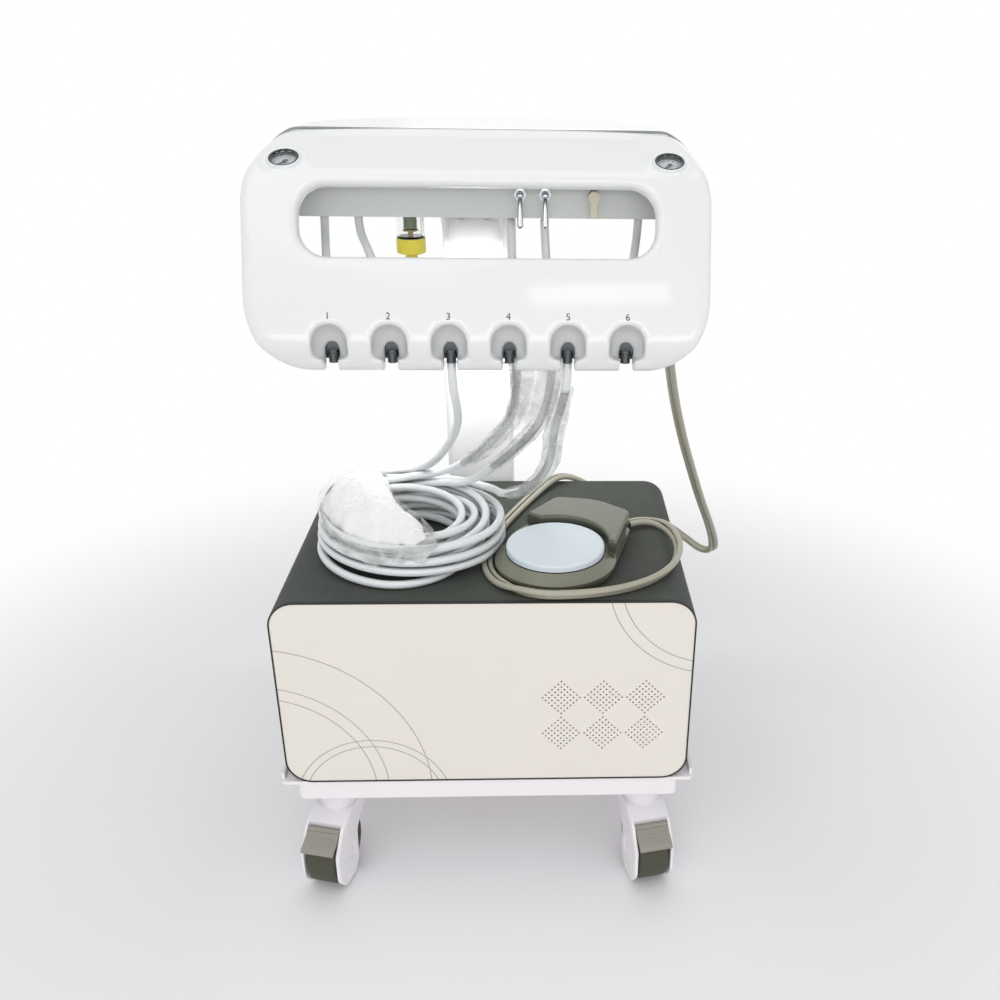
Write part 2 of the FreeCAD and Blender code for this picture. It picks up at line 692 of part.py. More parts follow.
def deck_recess():
    """The tray recess in the sloping top, which runs out to nothing at the header."""
    corners = [slope_point(x, s, out) for x, s, out in
               ((-151, 8, 0), (151, 8, 0), (145, 71, -3.5), (-145, 71, -3.5))]
    return prism(corners, 10, slope_out() * 20)


def gauge_axis(side):
    """The centre of a gauge on the slope, and the direction it faces."""
    return slope_point(side * GAUGE_X, GAUGE_SLIDE, 0), slope_out()


def gauge_boss(side):
    """The raised ring of the skin round a gauge, with a seat for the bezel."""
    centre, facing = gauge_axis(side)
    cone = Part.makeCone(BEZEL_RADIUS + 8.5, BEZEL_RADIUS + 2.2, HEAD_WALL + 2.6, centre - facing * HEAD_WALL, facing)
    return cone.cut(rod(centre, centre + facing * 10, BEZEL_RADIUS + 0.1))


def on_window_edge(edge):
    """Whether an edge runs round the window on the fascia's outer face."""
    inward = Vector(0, lean_vector().z, -lean_vector().y)
    flush = all(abs((v.Point - Vector(0, *CHIN)).dot(inward)) < 0.05 for v in edge.Vertexes)
    bounds = edge.BoundBox
    inside = max(-bounds.XMin, bounds.XMax) < WINDOW_HALF + 5
    return flush and inside and bounds.ZMin > WINDOW_LOW - 6 and bounds.ZMax < WINDOW_HIGH + 6


def head_shell():
    """The moulded head: skin, window rim, six scoops with slots, recess and gauge holes."""
    outer = head_block(0)
    shell = outer.cut(head_block(HEAD_WALL))
    rim = window_block(3.5, 0.5, WINDOW_RIM).common(outer)
    pockets = [scoop(x, HEAD_WALL, CHIN_LOW[1]).common(outer) for x in scoop_places()]
    recess = deck_recess()
    floor = recess.copy()
    floor.translate(slope_out() * -HEAD_WALL)
    floor = floor.common(outer)
    bosses = [gauge_boss(side) for side in (-1, 1)]
    shell = fused([shell, rim, floor] + pockets + bosses)
    cuts = [window_block(0, -10, WINDOW_RIM + 20), recess]
    for x in scoop_places():
        cuts.append(scoop(x, 0, SCOOP_FLOOR))
        cuts.append(box((x - SLOT_HALF, x + SLOT_HALF), (20, 72), (590, 613)))
        cuts.append(rod((x, 20, 613), (x, 72, 613), SLOT_HALF))
    for side in (-1, 1):
        centre, facing = gauge_axis(side)
        cuts.append(rod(centre - facing * 20, centre + facing * 20, GAUGE_RADIUS + 0.1))
    shell = shell.cut(Part.makeCompound(cuts))
    return shell.makeFillet(WINDOW_ROLL, [edge for edge in shell.Edges if on_window_edge(edge)])


def gauge_cases():
    """Two gauge cups, each with a bezel ring on the outside."""
    cases = []
    for side in (-1, 1):
        centre, facing = gauge_axis(side)
        cup = rod(centre - facing * 18, centre + facing * 1, GAUGE_RADIUS)
        bezel = Part.makeCone(BEZEL_RADIUS, 14.2, 2.8, centre, facing)
        stem = rod(centre - facing * 26, centre - facing * 17, 5)
        body = fused([cup, bezel, stem])
        cases.append(body.cut(rod(centre - facing * 4, centre + facing * 5, 11.8)))
    return Part.makeCompound(cases)


def gauge_dials():
    """The two dial plates."""
    dials = []
    for side in (-1, 1):
        centre, facing = gauge_axis(side)
        dials.append(rod(centre - facing * 4, centre - facing * 3.2, 11.8))
    return Part.makeCompound(dials)


def gauge_lenses():
    """The two clear lenses."""
    lenses = []
    for side in (-1, 1):
        centre, facing = gauge_axis(side)
        lenses.append(rod(centre + facing * 0.6, centre + facing * 1.8, 11.8))
    return Part.makeCompound(lenses)


def gauge_needle(side):
    """A needle: a boss and a tapering pointer that rests at the low end of the scale."""
    centre, facing = gauge_axis(side)
    along = Vector(0, facing.z, -facing.y)
    start = unit(ACROSS * -1 - along)
    wide = facing.cross(start)
    lift = facing * -2.4
    tips = [start * 9.5 + wide * 0.3, start * 9.5 - wide * 0.3, start * -3.5 - wide * 0.9,
            start * -3.5 + wide * 0.9]
    pointer = prism([centre + lift + t for t in tips], 0, facing * 0.7)
    boss = rod(centre - facing * 2.8, centre - facing * 1.2, 1.6)
    return fused([pointer, boss])


def valve_panel():
    """The folded panel under the deck that carries the levers."""
    y = VALVE_PANEL_Y
    face = prism(upright([(-182, VALVE_PANEL_LOW), (182, VALVE_PANEL_LOW), (182, 776), (-182, 776)], y),
                 [8, 8, 0, 0], BACK * 2)
    shelf = box((-182, 182), (y, y + 22), (774, 776))
    ears = [box((x - 8, x + 8), (y + 12, y + 16), (775, deck_underside(y + 12))) for x in (-120, 0, 120)]
    lip = box((-174, 174), (y, y + 4), (VALVE_PANEL_LOW, VALVE_PANEL_LOW + 2))
    return fused([face, shelf, lip] + ears)


def deck_underside(y):
    """The height of the underside of the head's top at a depth."""
    if y < DECK_FRONT[0]:
        rise = (DECK_FRONT[1] - HEADER[1]) / (DECK_FRONT[0] - HEADER[0])
        return HEADER[1] + (y - HEADER[0]) * rise - 2.5 * HEAD_WALL
    rise = (DECK_REAR[1] - DECK_FRONT[1]) / (DECK_REAR[0] - DECK_FRONT[0])
    return DECK_FRONT[1] + (y - DECK_FRONT[0]) * rise - HEAD_WALL - 0.1


def lever_bushings():
    """The chromed bushings of the three levers, each with a washer and a nut."""
    y = VALVE_PANEL_Y
    parts = []
    for x, z in [(x, TOGGLE_Z) for x in TOGGLE_X] + [(WATER_X, WATER_Z)]:
        nut = prism([Vector(x + 6.2 * math.cos(math.radians(a)), y - 3, z + 6.2 * math.sin(math.radians(a)))
                     for a in range(0, 360, 60)], 0, BACK * 3)
        barrel = rod((x, y - 7, z), (x, y, z), 4.6)
        bore = rod((x, y - 9, z), (x, y - 4, z), 3.9)
        parts.append(fused([nut, barrel]).cut(bore))
    return Part.makeCompound(parts)


def toggle_lever(x):
    """A toggle lever hanging down from its ball."""
    ball_at = Vector(x, VALVE_PANEL_Y - 8.5, TOGGLE_Z)
    tip = Vector(x, VALVE_PANEL_Y - 17, TOGGLE_Z - 26)
    ball = Part.makeSphere(3.7, ball_at)
    stem = Part.makeCone(2.0, 3.1, (tip - ball_at).Length, ball_at, tip - ball_at)
    end = Part.makeSphere(3.1, tip)
    return fused([ball, stem, end])


def water_lever():
    """The quarter-turn water lever on its spindle."""
    y = VALVE_PANEL_Y
    spindle = rod((WATER_X, y - 13, WATER_Z), (WATER_X, y - 4.5, WATER_Z), 3.8)
    hub = rod((WATER_X, y - 14, WATER_Z), (WATER_X, y - 8.5, WATER_Z), 5.5)
    sides = [(WATER_X - 2.6, WATER_Z), (WATER_X - 3.4, WATER_Z - 19), (WATER_X + 3.4, WATER_Z - 19),
             (WATER_X + 2.6, WATER_Z)]
    blade = prism(upright(sides, y - 13.4), [0, 3, 3, 0], BACK * 4)
    return fused([spindle, hub, blade])


VALVE_BLOCK = (22.0, 136.0)
BLOCK_HOSES = ((28.0, 152.0), (60.0, 152.0))
BLOCK_LOW = 736.0


def valve_block():
    """The manifold behind the panel, with two barbed outlets underneath."""
    y = VALVE_PANEL_Y + 2
    block = box(VALVE_BLOCK, (y, y + 30), (BLOCK_LOW, 774))
    barbs = []
    for x, by in BLOCK_HOSES:
        barbs += [rod((x, by, BLOCK_LOW - 12), (x, by, BLOCK_LOW + 1), HOSE / 2)]
        barbs += [rod((x, by, BLOCK_LOW - 5), (x, by, BLOCK_LOW + 1), HOSE / 2 + 2)]
    return fused([block] + barbs)


def filter_body():
    """The filter's head, fixed to the back of the valve panel."""
    x, y = FILTER
    block = box((x - 17, x + 17), (VALVE_PANEL_Y + 2, y + 17), (742, 770))
    collar = rod((x, y, 736), (x, y, 743), 15.5)
    return fused([block, collar])


def filter_bowl():
    """The clear bowl, open at the top."""
    x, y = FILTER
    return rod((x, y, 697), (x, y, 736), 13.4).cut(rod((x, y, 699), (x, y, 737), 11.6))


def filter_ring():
    """The coloured ring under the bowl with its drain nipple."""
    x, y = FILTER
    cup = rod((x, y, 682.5), (x, y, 697), 14.2)
    rims = [e for e in cup.Edges if e.BoundBox.ZLength < 0.01]
    cup = cup.makeFillet(1.5, rims)
    nipple = rod((x, y, 664), (x, y, 683), 6)
    return fused([cup, nipple]).cut(rod((x, y, 663), (x, y, 676), 3))


TUBE_ENDS = {0: -150.0, 1: -118.0, 5: 150.0}
TUBE_Y = 67.0
TUBE_START = 636.0


def coupling_rail():
    """The rail behind the chin with a hose coupling in each holder slot."""
    rail = box((-150, 150), (62.3, 66.3), (603, 626))
    couplings = []
    for x in scoop_places():
        couplings.append(rod((x, 61, 600), (x, 61, 612), 4.8))
        couplings.append(rod((x, 61, 606), (x, 61, 609), 5.5))
        couplings.append(rod((x, TUBE_Y, 620), (x, TUBE_Y, TUBE_START), 3.6))
    return fused([rail] + couplings)


def inner_tubing():
    """Fixed tubes from the deck down to the couplings that carry no loose hose."""
    tubes = []
    for index, top in TUBE_ENDS.items():
        x = scoop_places()[index]
        points = [Vector(x, TUBE_Y, TUBE_START), Vector(x, TUBE_Y, 655), Vector((x + top) / 2, 102, 684),
                  Vector(top, 147, 706), Vector(top + 1, 149.5, 740), Vector(top + 1, 149.5, 774)]
        tubes.append(hose_tube(points, 8.0, "inner tube"))
    return Part.makeCompound(tubes)


def head_bracket():
    """The welded bracket between the mast and the deck: a back plate, two gussets and a top plate."""
    width, depth = mast_size()
    front = COLUMN_Y - depth / 2
    left, right = COLUMN_X - 28, COLUMN_X + 28
    back = box((left, right), (front - 6, front), (640, MAST_TOP))
    slots = []
    for x in (COLUMN_X - 14, COLUMN_X + 14):
        slots.append(prism(upright([(x - 3.5, 690), (x + 3.5, 690), (x + 3.5, 728), (x - 3.5, 728)],
                                   front - 4), 3.4, BACK * -3))
    rear, fore = front - 5, 176.0
    top = [(fore, deck_underside(fore)), (rear, deck_underside(rear)),
           (rear, deck_underside(rear) - 5), (fore, deck_underside(fore) - 5)]
    roof = prism(side_on(top, left - 6), 0, ACROSS * (right - left + 12))
    gussets = []
    for x in (left - 4, right):
        sides = [(rear + 1, 650), (rear + 1, deck_underside(rear) - 3), (fore + 4, deck_underside(fore) - 3),
                 (fore + 4, deck_underside(fore) - 16)]
        gussets.append(prism(side_on(sides, x), [0, 0, 0, 20], ACROSS * 4))
    clear = box((-200, 200), (DECK_REAR[0] - 12, front + 1), (MAST_TOP, 830))
    return fused([back.cut(Part.makeCompound(slots)), roof] + gussets).cut(clear)


# ---- foot control, modelled at the origin and facing -Y ----
def pedal_plan(inset, z, height):
    """The foot control's plan as a plate: a round front and tangent sides to a bulged rear."""
    radius = PEDAL_RADIUS - inset
    half, rear = HOOD_REAR_HALF - inset, HOOD_REAR - inset
    turn = math.atan2(rear, half) - math.acos(radius / math.hypot(half, rear))
    x, y = radius * math.cos(turn), radius * math.sin(turn)
    corners = flat([(x, y), (half, rear), (0, rear + HOOD_BULGE), (-half, rear), (-x, y)], z)
    front = Part.Arc(corners[4], Vector(0, -radius, z), corners[0]).toShape()
    edges = [front, Part.LineSegment(corners[0], corner_arc(*corners[0:3], 12)[0]).toShape()]
    cuts = [corner_arc(*corners[i - 1:i + 2], r) for i, r in ((1, 12), (2, 60), (3, 12))]
    for (start, middle, end), following in zip(cuts, [cuts[1][0], cuts[2][0], corners[4]]):
        edges.append(Part.Arc(start, middle, end).toShape())
        edges.append(Part.LineSegment(end, following).toShape())
    return Part.Face(Part.Wire(edges)).extrude(UP * height)


def placed_pedal(shape):
    """A foot-control piece moved to its place on the cabinet."""
    return turned(shape, PEDAL_TURN, PEDAL)


def pedal_base():
    """The foot control's base: a skirt, a band, a sloping shoulder and the disc's well."""
    skirt = pedal_plan(2.5, 2, 6)
    band = pedal_plan(0, 7.5, 3.5)
    shoulder = Part.makeCone(PEDAL_RADIUS, PEDAL_RADIUS - 10, 9, Vector(0, 0, 11), UP)
    deck = pedal_plan(3, 10, 10).common(box((-90, 90), (20, 140), (0, 60)))
    feet = [rod((x, y, 0), (x, y, 2.5), 8) for x, y in ((-42, -25), (42, -25), (-34, 84), (34, 84))]
    body = fused([skirt, band, shoulder, deck] + feet)
    well = rod((0, 0, DISC_LOW - 4), (0, 0, 40), PEDAL_DISC + 1)
    spigot = rod((0, 0, 8), (0, 0, 20), 8 + RUNNING_GAP)
    return body.cut(well.fuse([spigot, pedal_gland()]))


def pedal_hood():
    """The guard round the rear of the disc, with a rounded top edge."""
    block = pedal_plan(1, 20, HOOD_HIGH - 20)
    keep = prism(flat([(-90, 52), (90, 12), (90, 140), (-90, 140)], 0), 0, UP * 60)
    block = block.common(keep).cut(rod((0, 0, 10), (0, 0, 60), PEDAL_DISC + 4))
    tops = [e for e in block.Edges if e.BoundBox.ZMin > HOOD_HIGH - 0.01]
    return block.makeFillet(3, tops)


def pedal_disc():
    """The round foot disc on its spigot."""
    disc = rod((0, 0, DISC_LOW), (0, 0, DISC_HIGH), PEDAL_DISC)
    rims = [e for e in disc.Edges if e.BoundBox.ZMin > DISC_HIGH - 0.01]
    disc = disc.makeFillet(2.5, rims)
    spigot = rod((0, 0, 14), (0, 0, DISC_LOW + 1), 8)
    return fused([disc, spigot])


PEDAL_EXIT = Vector(30.0, 101.5, 7.6)
PEDAL_EXIT_WAY = Vector(0.4226, 0.9063, 0)


def pedal_gland():
    """The stepped gland where the hose leaves the back of the foot control."""
    flange = rod(PEDAL_EXIT - PEDAL_EXIT_WAY * 3, PEDAL_EXIT + PEDAL_EXIT_WAY * 4, 7)
    sleeve = Part.makeCone(6.2, 5.2, 10, PEDAL_EXIT + PEDAL_EXIT_WAY * 3, PEDAL_EXIT_WAY)
    return fused([flange, sleeve])


# ---- cords ----
def route_edges(points, name):
    """Straight runs joined by arcs as large as the runs allow; prints the tightest radius."""
    edges, at, tightest = [], points[0], None
    for before, corner, after in zip(points, points[1:], points[2:]):
        shorter = min((corner - before).Length, (after - corner).Length)
        half_turn = (corner - before).getAngle(after - corner) / 2
        radius = 0.45 * shorter / math.tan(half_turn)
        start, middle, end = corner_arc(before, corner, after, radius)
        edges.append(Part.LineSegment(at, start).toShape())
        edges.append(Part.Arc(start, middle, end).toShape())
        tightest = radius if tightest is None else min(tightest, radius)
        at = end
    edges.append(Part.LineSegment(at, points[-1]).toShape())
    print(name, "tightest radius", round(tightest, 1), "length", round(sum(e.Length for e in edges)))
    return edges


def hose_tube(points, diameter, name):
    """A round tube along a route."""
    path = Part.Wire(route_edges(points, name))
    section = Part.Wire([Part.Circle(points[0], points[1] - points[0], diameter / 2).toShape()])
    tube = path.makePipeShell([section], True, False)
    expected = math.pi * diameter ** 2 / 4 * path.Length
    print(name, "volume ratio", round(tube.Volume / expected, 3))
    return tube


COIL_LIE = CABINET_TOP + COIL_HEIGHT + HOSE / 2 + 0.3
HOSE_ROUTES = {
    "handpiece_hose_1": [(-26.95, 61, 600), (-26.95, 61, 577), (-25, 80, 550), (-26, 104, 526), (-35, 134, 496),
                         (-51, 163, 466), (-66, 186, 441), (-80, 201, COIL_LIE), (-98, 205, COIL_LIE)],
    "handpiece_hose_2": [(28, 152, 724), (28, 152, 696), (29, 141, 646), (31, 124, 601), (33, 112, 561),
                         (28, 121, 526), (10, 147, 493), (-15, 173, 461), (-35, 185, 438),
                         (-51, 190, COIL_LIE), (-67, 191, COIL_LIE)],
    "handpiece_hose_3": [(60, 152, 724), (60, 152, 696), (65, 138, 647), (68, 122, 600), (66, 113, 554),
                         (54, 124, 514), (32, 148, 481), (6, 166, 452), (-16, 174, 433),
                         (-34, 178, COIL_LIE), (-52, 184, COIL_LIE)],
    "handpiece_hose_4": [(80.85, 61, 600), (80.85, 61, 576), (75, 82, 546), (69, 100, 516), (67, 112, 482),
                         (56, 126, 454), (36, 138, 434), (14, 143, COIL_LIE + 0.5), (-6, 148, COIL_LIE)],
}

# The pedal's hose lies round the foot control, goes over the cabinet's rear edge, hangs in a loop
# beside the cabinet and rises to the head.
LYING = CABINET_TOP + PEDAL_HOSE / 2 + 0.1
PEDAL_ROUTE_TAIL = [
    (184, 167, LYING), (198, 152, LYING), (204, 126, LYING), (203, 96, LYING), (193, 64, LYING),
    (173, 37, LYING), (146, 18, LYING), (114, 7, LYING), (84, 3, LYING), (58, 3, LYING),
    (36, 11, LYING), (17, 27, LYING), (5, 48, LYING), (0, 73, LYING), (0, 100, LYING),
    (4, 128, LYING), (12, 158, LYING),
    (24, 190, LYING), (38, 224, LYING), (54, 256, LYING + 2), (74, 288, LYING + 5), (96, 308, 378),
    (122, 317, 360), (152, 319, 344), (184, 317, 328), (216, 312, 312), (244, 304, 294),
    (262, 298, 281), (277, 288, 285), (273, 276, 309), (262, 260, 340),
    (246, 242, 380), (230, 223, 426), (214, 205, 474), (199, 189, 530), (189, 179, 588),
    (181, 172, 642), (174, 168, 700), (174, 168, 744),
]


def pedal_route():
    """The points of the pedal hose, from the gland's end."""
    end = PEDAL_EXIT + PEDAL_EXIT_WAY * 13
    start = [placed_pedal(Part.Vertex(point)).Point for point in (end, end + PEDAL_EXIT_WAY * 15)]
    return start + [Vector(*p) for p in PEDAL_ROUTE_TAIL]


def hose_socket():
    """The socket under the deck that takes the pedal's hose."""
    x, y, z = PEDAL_ROUTE_TAIL[-1]
    nipple = rod((x, y, z), (x, y, z + 14), 6)
    stem = box((x - 9, x + 9), (y - 9, y + 9), (z + 13, HEAD_CEILING))
    return fused([nipple, stem]).common(head_block(HEAD_WALL))


def hose_coil(pedal_hose_path):
    """The outer form of the loose coil, with room under its edge for the pedal's hose."""
    low, high = 0.0, COIL_HEIGHT
    r = COIL_RADIUS
    outline = [Vector(r - COIL_HALF, 0, low), Vector(r + COIL_HALF, 0, low),
               Vector(r + COIL_HALF, 0, high), Vector(r - COIL_HALF, 0, high)]
    section = Part.Face(rounded_wire(outline, [10, 18, 20, 16]))
    coil = section.revolve(Vector(0, 0, 0), UP, 360)
    coil.translate(COIL)
    return coil.cut(pedal_hose_path)


def instrument_wrap():
    """The soft pack of foam and film round the handpieces, lying on the coil."""
    pack = Part.makeSphere(1.0)
    matrix = FreeCAD.Matrix()
    matrix.scale(70, 34, 36)
    pack = pack.transformGeometry(matrix)
    pack = pack.cut(box((-100, 100), (-100, 100), (-60, 0)))
    return turned(pack, -62, Vector(-136, 118, CABINET_TOP + COIL_HEIGHT + 0.3))


# ---- the whole unit ----
def caster_nodes():
    """Fork, wheel and, in front, brake of each caster in its place."""
    fork, wheel, brake = caster_fork(), caster_wheel(), caster_brake()
    braked = fork.cut(brake_sockets())
    nodes = {}
    for name, (x, y, turn) in CASTERS.items():
        place = Vector(x, y, FLOOR)
        front = name.startswith("front")
        nodes[name + "_fork"] = turned(braked if front else fork, turn, place)
        nodes[name + "_wheel"] = turned(wheel, turn, place)
        if front:
            nodes[name + "_brake"] = turned(brake, turn, place)
    return nodes


def all_nodes():
    """Every node by name."""
    route = pedal_route()
    pedal_tube = hose_tube(route, PEDAL_HOSE, "pedal_hose")
    groove = hose_tube(route[:24], PEDAL_HOSE + 3, "groove")
    nodes = {
        "base_tray": base_tray(),
        "base_frame": base_frame(),
        "caster_stems": caster_stems(),
        "cabinet_cover": cabinet_cover(),
        "front_panel": front_panel(),
        "panel_seal": panel_seal(),
        "rear_panel": rear_panel(),
        "power_inlet": power_inlet(),
        "rocker_switch": rocker_switch(),
        "rear_ports": rear_ports(),
        "compressor_motor": compressor_motor(),
        "compressor_heads": compressor_heads(),
        "air_tank": air_tank(),
        "suction_pump": suction_pump(),
        "control_board": control_board(),
        "column_foot": column_foot(),
        "column_tube": column_tube(),
        "column_collar": column_collar(),
        "clamp_knob": clamp_knob(),
        "mast_tube": mast_tube(),
        "head_bracket": head_bracket(),
        "head_shell": head_shell(),
        "gauge_cases": gauge_cases(),
        "gauge_dials": gauge_dials(),
        "gauge_lenses": gauge_lenses(),
        "left_needle": gauge_needle(-1),
        "right_needle": gauge_needle(1),
        "valve_panel": valve_panel(),
        "valve_block": valve_block(),
        "lever_bushings": lever_bushings(),
        "toggle_1": toggle_lever(TOGGLE_X[0]),
        "toggle_2": toggle_lever(TOGGLE_X[1]),
        "water_lever": water_lever(),
        "filter_body": filter_body(),
        "filter_bowl": filter_bowl(),
        "filter_ring": filter_ring(),
        "coupling_rail": coupling_rail(),
        "inner_tubing": inner_tubing(),
        "hose_socket": hose_socket(),
        "pedal_base": placed_pedal(pedal_base()),
        "pedal_hood": placed_pedal(pedal_hood()),
        "pedal_disc": placed_pedal(pedal_disc()),
        "pedal_gland": placed_pedal(pedal_gland()),
        "hose_coil": hose_coil(groove),
        "instrument_wrap": instrument_wrap(),
        "pedal_hose": pedal_tube,
    }
    nodes.update(caster_nodes())
    for name, route in HOSE_ROUTES.items():
        nodes[name] = hose_tube([Vector(*p) for p in route], HOSE, name)
    return nodes


def main():
    os.makedirs("parts", exist_ok=True)
    for name, shape in all_nodes().items():
        moved = shape.copy()
        moved.translate(Vector(0, -MIDDLE_Y, -FLOOR))
        if not moved.isValid():
            print("not valid:", name)
        moved.exportStep(f"parts/{name}.step")


main()
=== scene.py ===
"""Looks of the portable dental unit: finishes, loose hoses, soft packing, printed marks and studio.

Places are written in the maker's millimetres: y = 0 is the cabinet's front face, x = 0 its middle and
z is measured from a level FLOOR_LEVEL under the floor. at() turns such a place into the frame's metres.
"""
import json
import math

import bmesh
import bpy
from mathutils import Matrix, Vector, noise


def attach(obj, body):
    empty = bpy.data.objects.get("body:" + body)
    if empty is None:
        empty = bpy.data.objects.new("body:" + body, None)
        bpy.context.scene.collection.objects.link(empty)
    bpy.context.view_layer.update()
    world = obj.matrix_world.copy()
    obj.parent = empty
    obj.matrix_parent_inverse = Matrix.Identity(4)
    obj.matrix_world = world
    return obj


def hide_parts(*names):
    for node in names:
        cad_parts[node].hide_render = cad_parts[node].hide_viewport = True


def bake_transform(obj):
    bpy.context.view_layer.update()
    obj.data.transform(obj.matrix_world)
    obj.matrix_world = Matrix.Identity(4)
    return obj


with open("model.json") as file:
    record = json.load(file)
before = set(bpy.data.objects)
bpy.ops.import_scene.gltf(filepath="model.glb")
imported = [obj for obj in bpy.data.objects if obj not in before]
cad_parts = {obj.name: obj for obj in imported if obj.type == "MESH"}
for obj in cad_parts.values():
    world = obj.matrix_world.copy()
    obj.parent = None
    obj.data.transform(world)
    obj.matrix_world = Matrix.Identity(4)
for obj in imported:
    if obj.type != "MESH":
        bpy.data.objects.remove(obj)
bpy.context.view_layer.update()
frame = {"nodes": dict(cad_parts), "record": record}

MM = 0.001
CABINET_MIDDLE = 159.3
FLOOR_LEVEL = 25.0
CABINET_TOP = 378.0


def at(x, y, z):
    """A place in the maker's millimetres as a point of the frame."""
    return Vector((x, y - CABINET_MIDDLE, z - FLOOR_LEVEL)) * MM


# ---- camera ----
CAMERA_PLACE = (0.05317, -1.00883, 0.84782)
CAMERA_RIGHT = Vector((0.99919561, -0.03720473, 0.01496466))
CAMERA_UP = Vector((0.00215572, 0.42246294, 0.90637764))
CAMERA_SENSOR = 36.0
CAMERA_LENS = 36.27
CAMERA_SHIFT = (-0.0784, 0.0095)


def add_camera():
    """The camera, level with the head and looking down a little."""
    data = bpy.data.cameras.new("camera")
    data.sensor_width = CAMERA_SENSOR
    data.lens = CAMERA_LENS
    data.shift_x, data.shift_y = CAMERA_SHIFT
    camera = in_scene("camera", data)
    turn = Matrix((CAMERA_RIGHT, CAMERA_UP, CAMERA_RIGHT.cross(CAMERA_UP))).transposed()
    camera.matrix_world = Matrix.Translation(CAMERA_PLACE) @ turn.to_4x4()
    bpy.context.scene.camera = camera


# ---- making pieces ----
# What hangs between the cabinet and the head stays where it lies, on no body.
HANGING = "hanging"


def piece_from(mesh, name, material, body):
    """A finished piece on its body, with its material."""
    piece = in_scene(name, mesh)
    mesh.materials.clear()
    mesh.materials.append(material)
    for face in mesh.polygons:
        face.use_smooth = True
    if body == HANGING:
        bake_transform(piece)
    else:
        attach(piece, body)
    return piece


def piece_from_bmesh(shape, name, material, body):
    """A finished piece from a bmesh, which is freed."""
    mesh = bpy.data.meshes.new(name)
    shape.to_mesh(mesh)
    shape.free()
    return piece_from(mesh, name, material, body)


def sharpen(piece, degrees=35):
    """Keeps the edges that turn by more than an angle crisp."""
    limit = math.radians(degrees)
    shape = bmesh.new()
    shape.from_mesh(piece.data)
    for edge in shape.edges:
        edge.smooth = len(edge.link_faces) == 2 and edge.calc_face_angle(0) < limit
    shape.to_mesh(piece.data)
    shape.free()


def lathe(profile, steps=32):
    """A bmesh turned about the Z axis from (radius, height) pairs in millimetres, closed at the axis."""
    shape = bmesh.new()
    points = [shape.verts.new((r * MM, 0, z * MM)) for r, z in profile]
    edges = [shape.edges.new(pair) for pair in zip(points, points[1:])]
    bmesh.ops.spin(shape, geom=points + edges, cent=(0, 0, 0), axis=(0, 0, 1), angle=math.tau,
                   steps=steps, use_merge=True)
    bmesh.ops.remove_doubles(shape, verts=shape.verts, dist=1e-6)
    bmesh.ops.recalc_face_normals(shape, faces=shape.faces)
    return shape


def facing(direction, place):
    """The matrix that turns +Z to a direction and moves the origin to a place."""
    return Matrix.Translation(place) @ Vector(direction).to_track_quat("Z", "Y").to_matrix().to_4x4()


def evaluated_mesh(piece, name):
    """The mesh that an object makes with its modifiers, bevel or text."""
    graph = bpy.context.evaluated_depsgraph_get()
    graph.update()
    mesh = bpy.data.meshes.new_from_object(piece.evaluated_get(graph))
    mesh.name = name
    return mesh


def mesh_instead(piece, name):
    """The mesh that a curve or a text makes, which is then taken away."""
    mesh = evaluated_mesh(piece, name)
    bpy.data.objects.remove(piece)
    return mesh


def with_modifiers(piece):
    """Applies a piece's modifiers to its mesh."""
    mesh = evaluated_mesh(piece, piece.name)
    piece.modifiers.clear()
    piece.data = mesh


def in_scene(name, data):
    """An object with the given data, put into the scene."""
    piece = bpy.data.objects.new(name, data)
    bpy.context.scene.collection.objects.link(piece)
    return piece


# ---- loose hoses ----
HOSE = 8.5
COIL_MIDDLE = (-81.0, 126.5)
COIL_LOW = 4.45
COIL_TOP = 47.5
COIL_STRETCH = 1.045
COIL_OVAL = 0.025
COIL_WANDER = 1.2
COIL_FAN = 0.10
COIL_FAN_TO = 256
POINTS_PER_TURN = 14

HOSE_ROUTES = {
    "handpiece_hose_1": [(-26.95, 61, 600), (-26.95, 61, 577), (-25, 80, 550), (-26, 104, 526),
                         (-35, 134, 496), (-51, 163, 466), (-66, 187, 445), (-80, 203, 433)],
    "handpiece_hose_2": [(28, 152, 724), (28, 152, 696), (29, 141, 646), (31, 124, 601), (33, 112, 561),
                         (28, 121, 526), (10, 147, 493), (-15, 173, 461), (-35, 185, 444)],
    "handpiece_hose_3": [(60, 152, 724), (60, 152, 696), (65, 138, 647), (68, 122, 600), (66, 113, 554),
                         (54, 124, 514), (32, 148, 481), (6, 166, 452), (-16, 174, 433), (-34, 178, 426)],
    "handpiece_hose_4": [(80.85, 61, 600), (80.85, 61, 576), (75, 82, 546), (69, 100, 516), (67, 112, 482),
                         (56, 126, 454), (36, 138, 434), (14, 146, 427)],
}
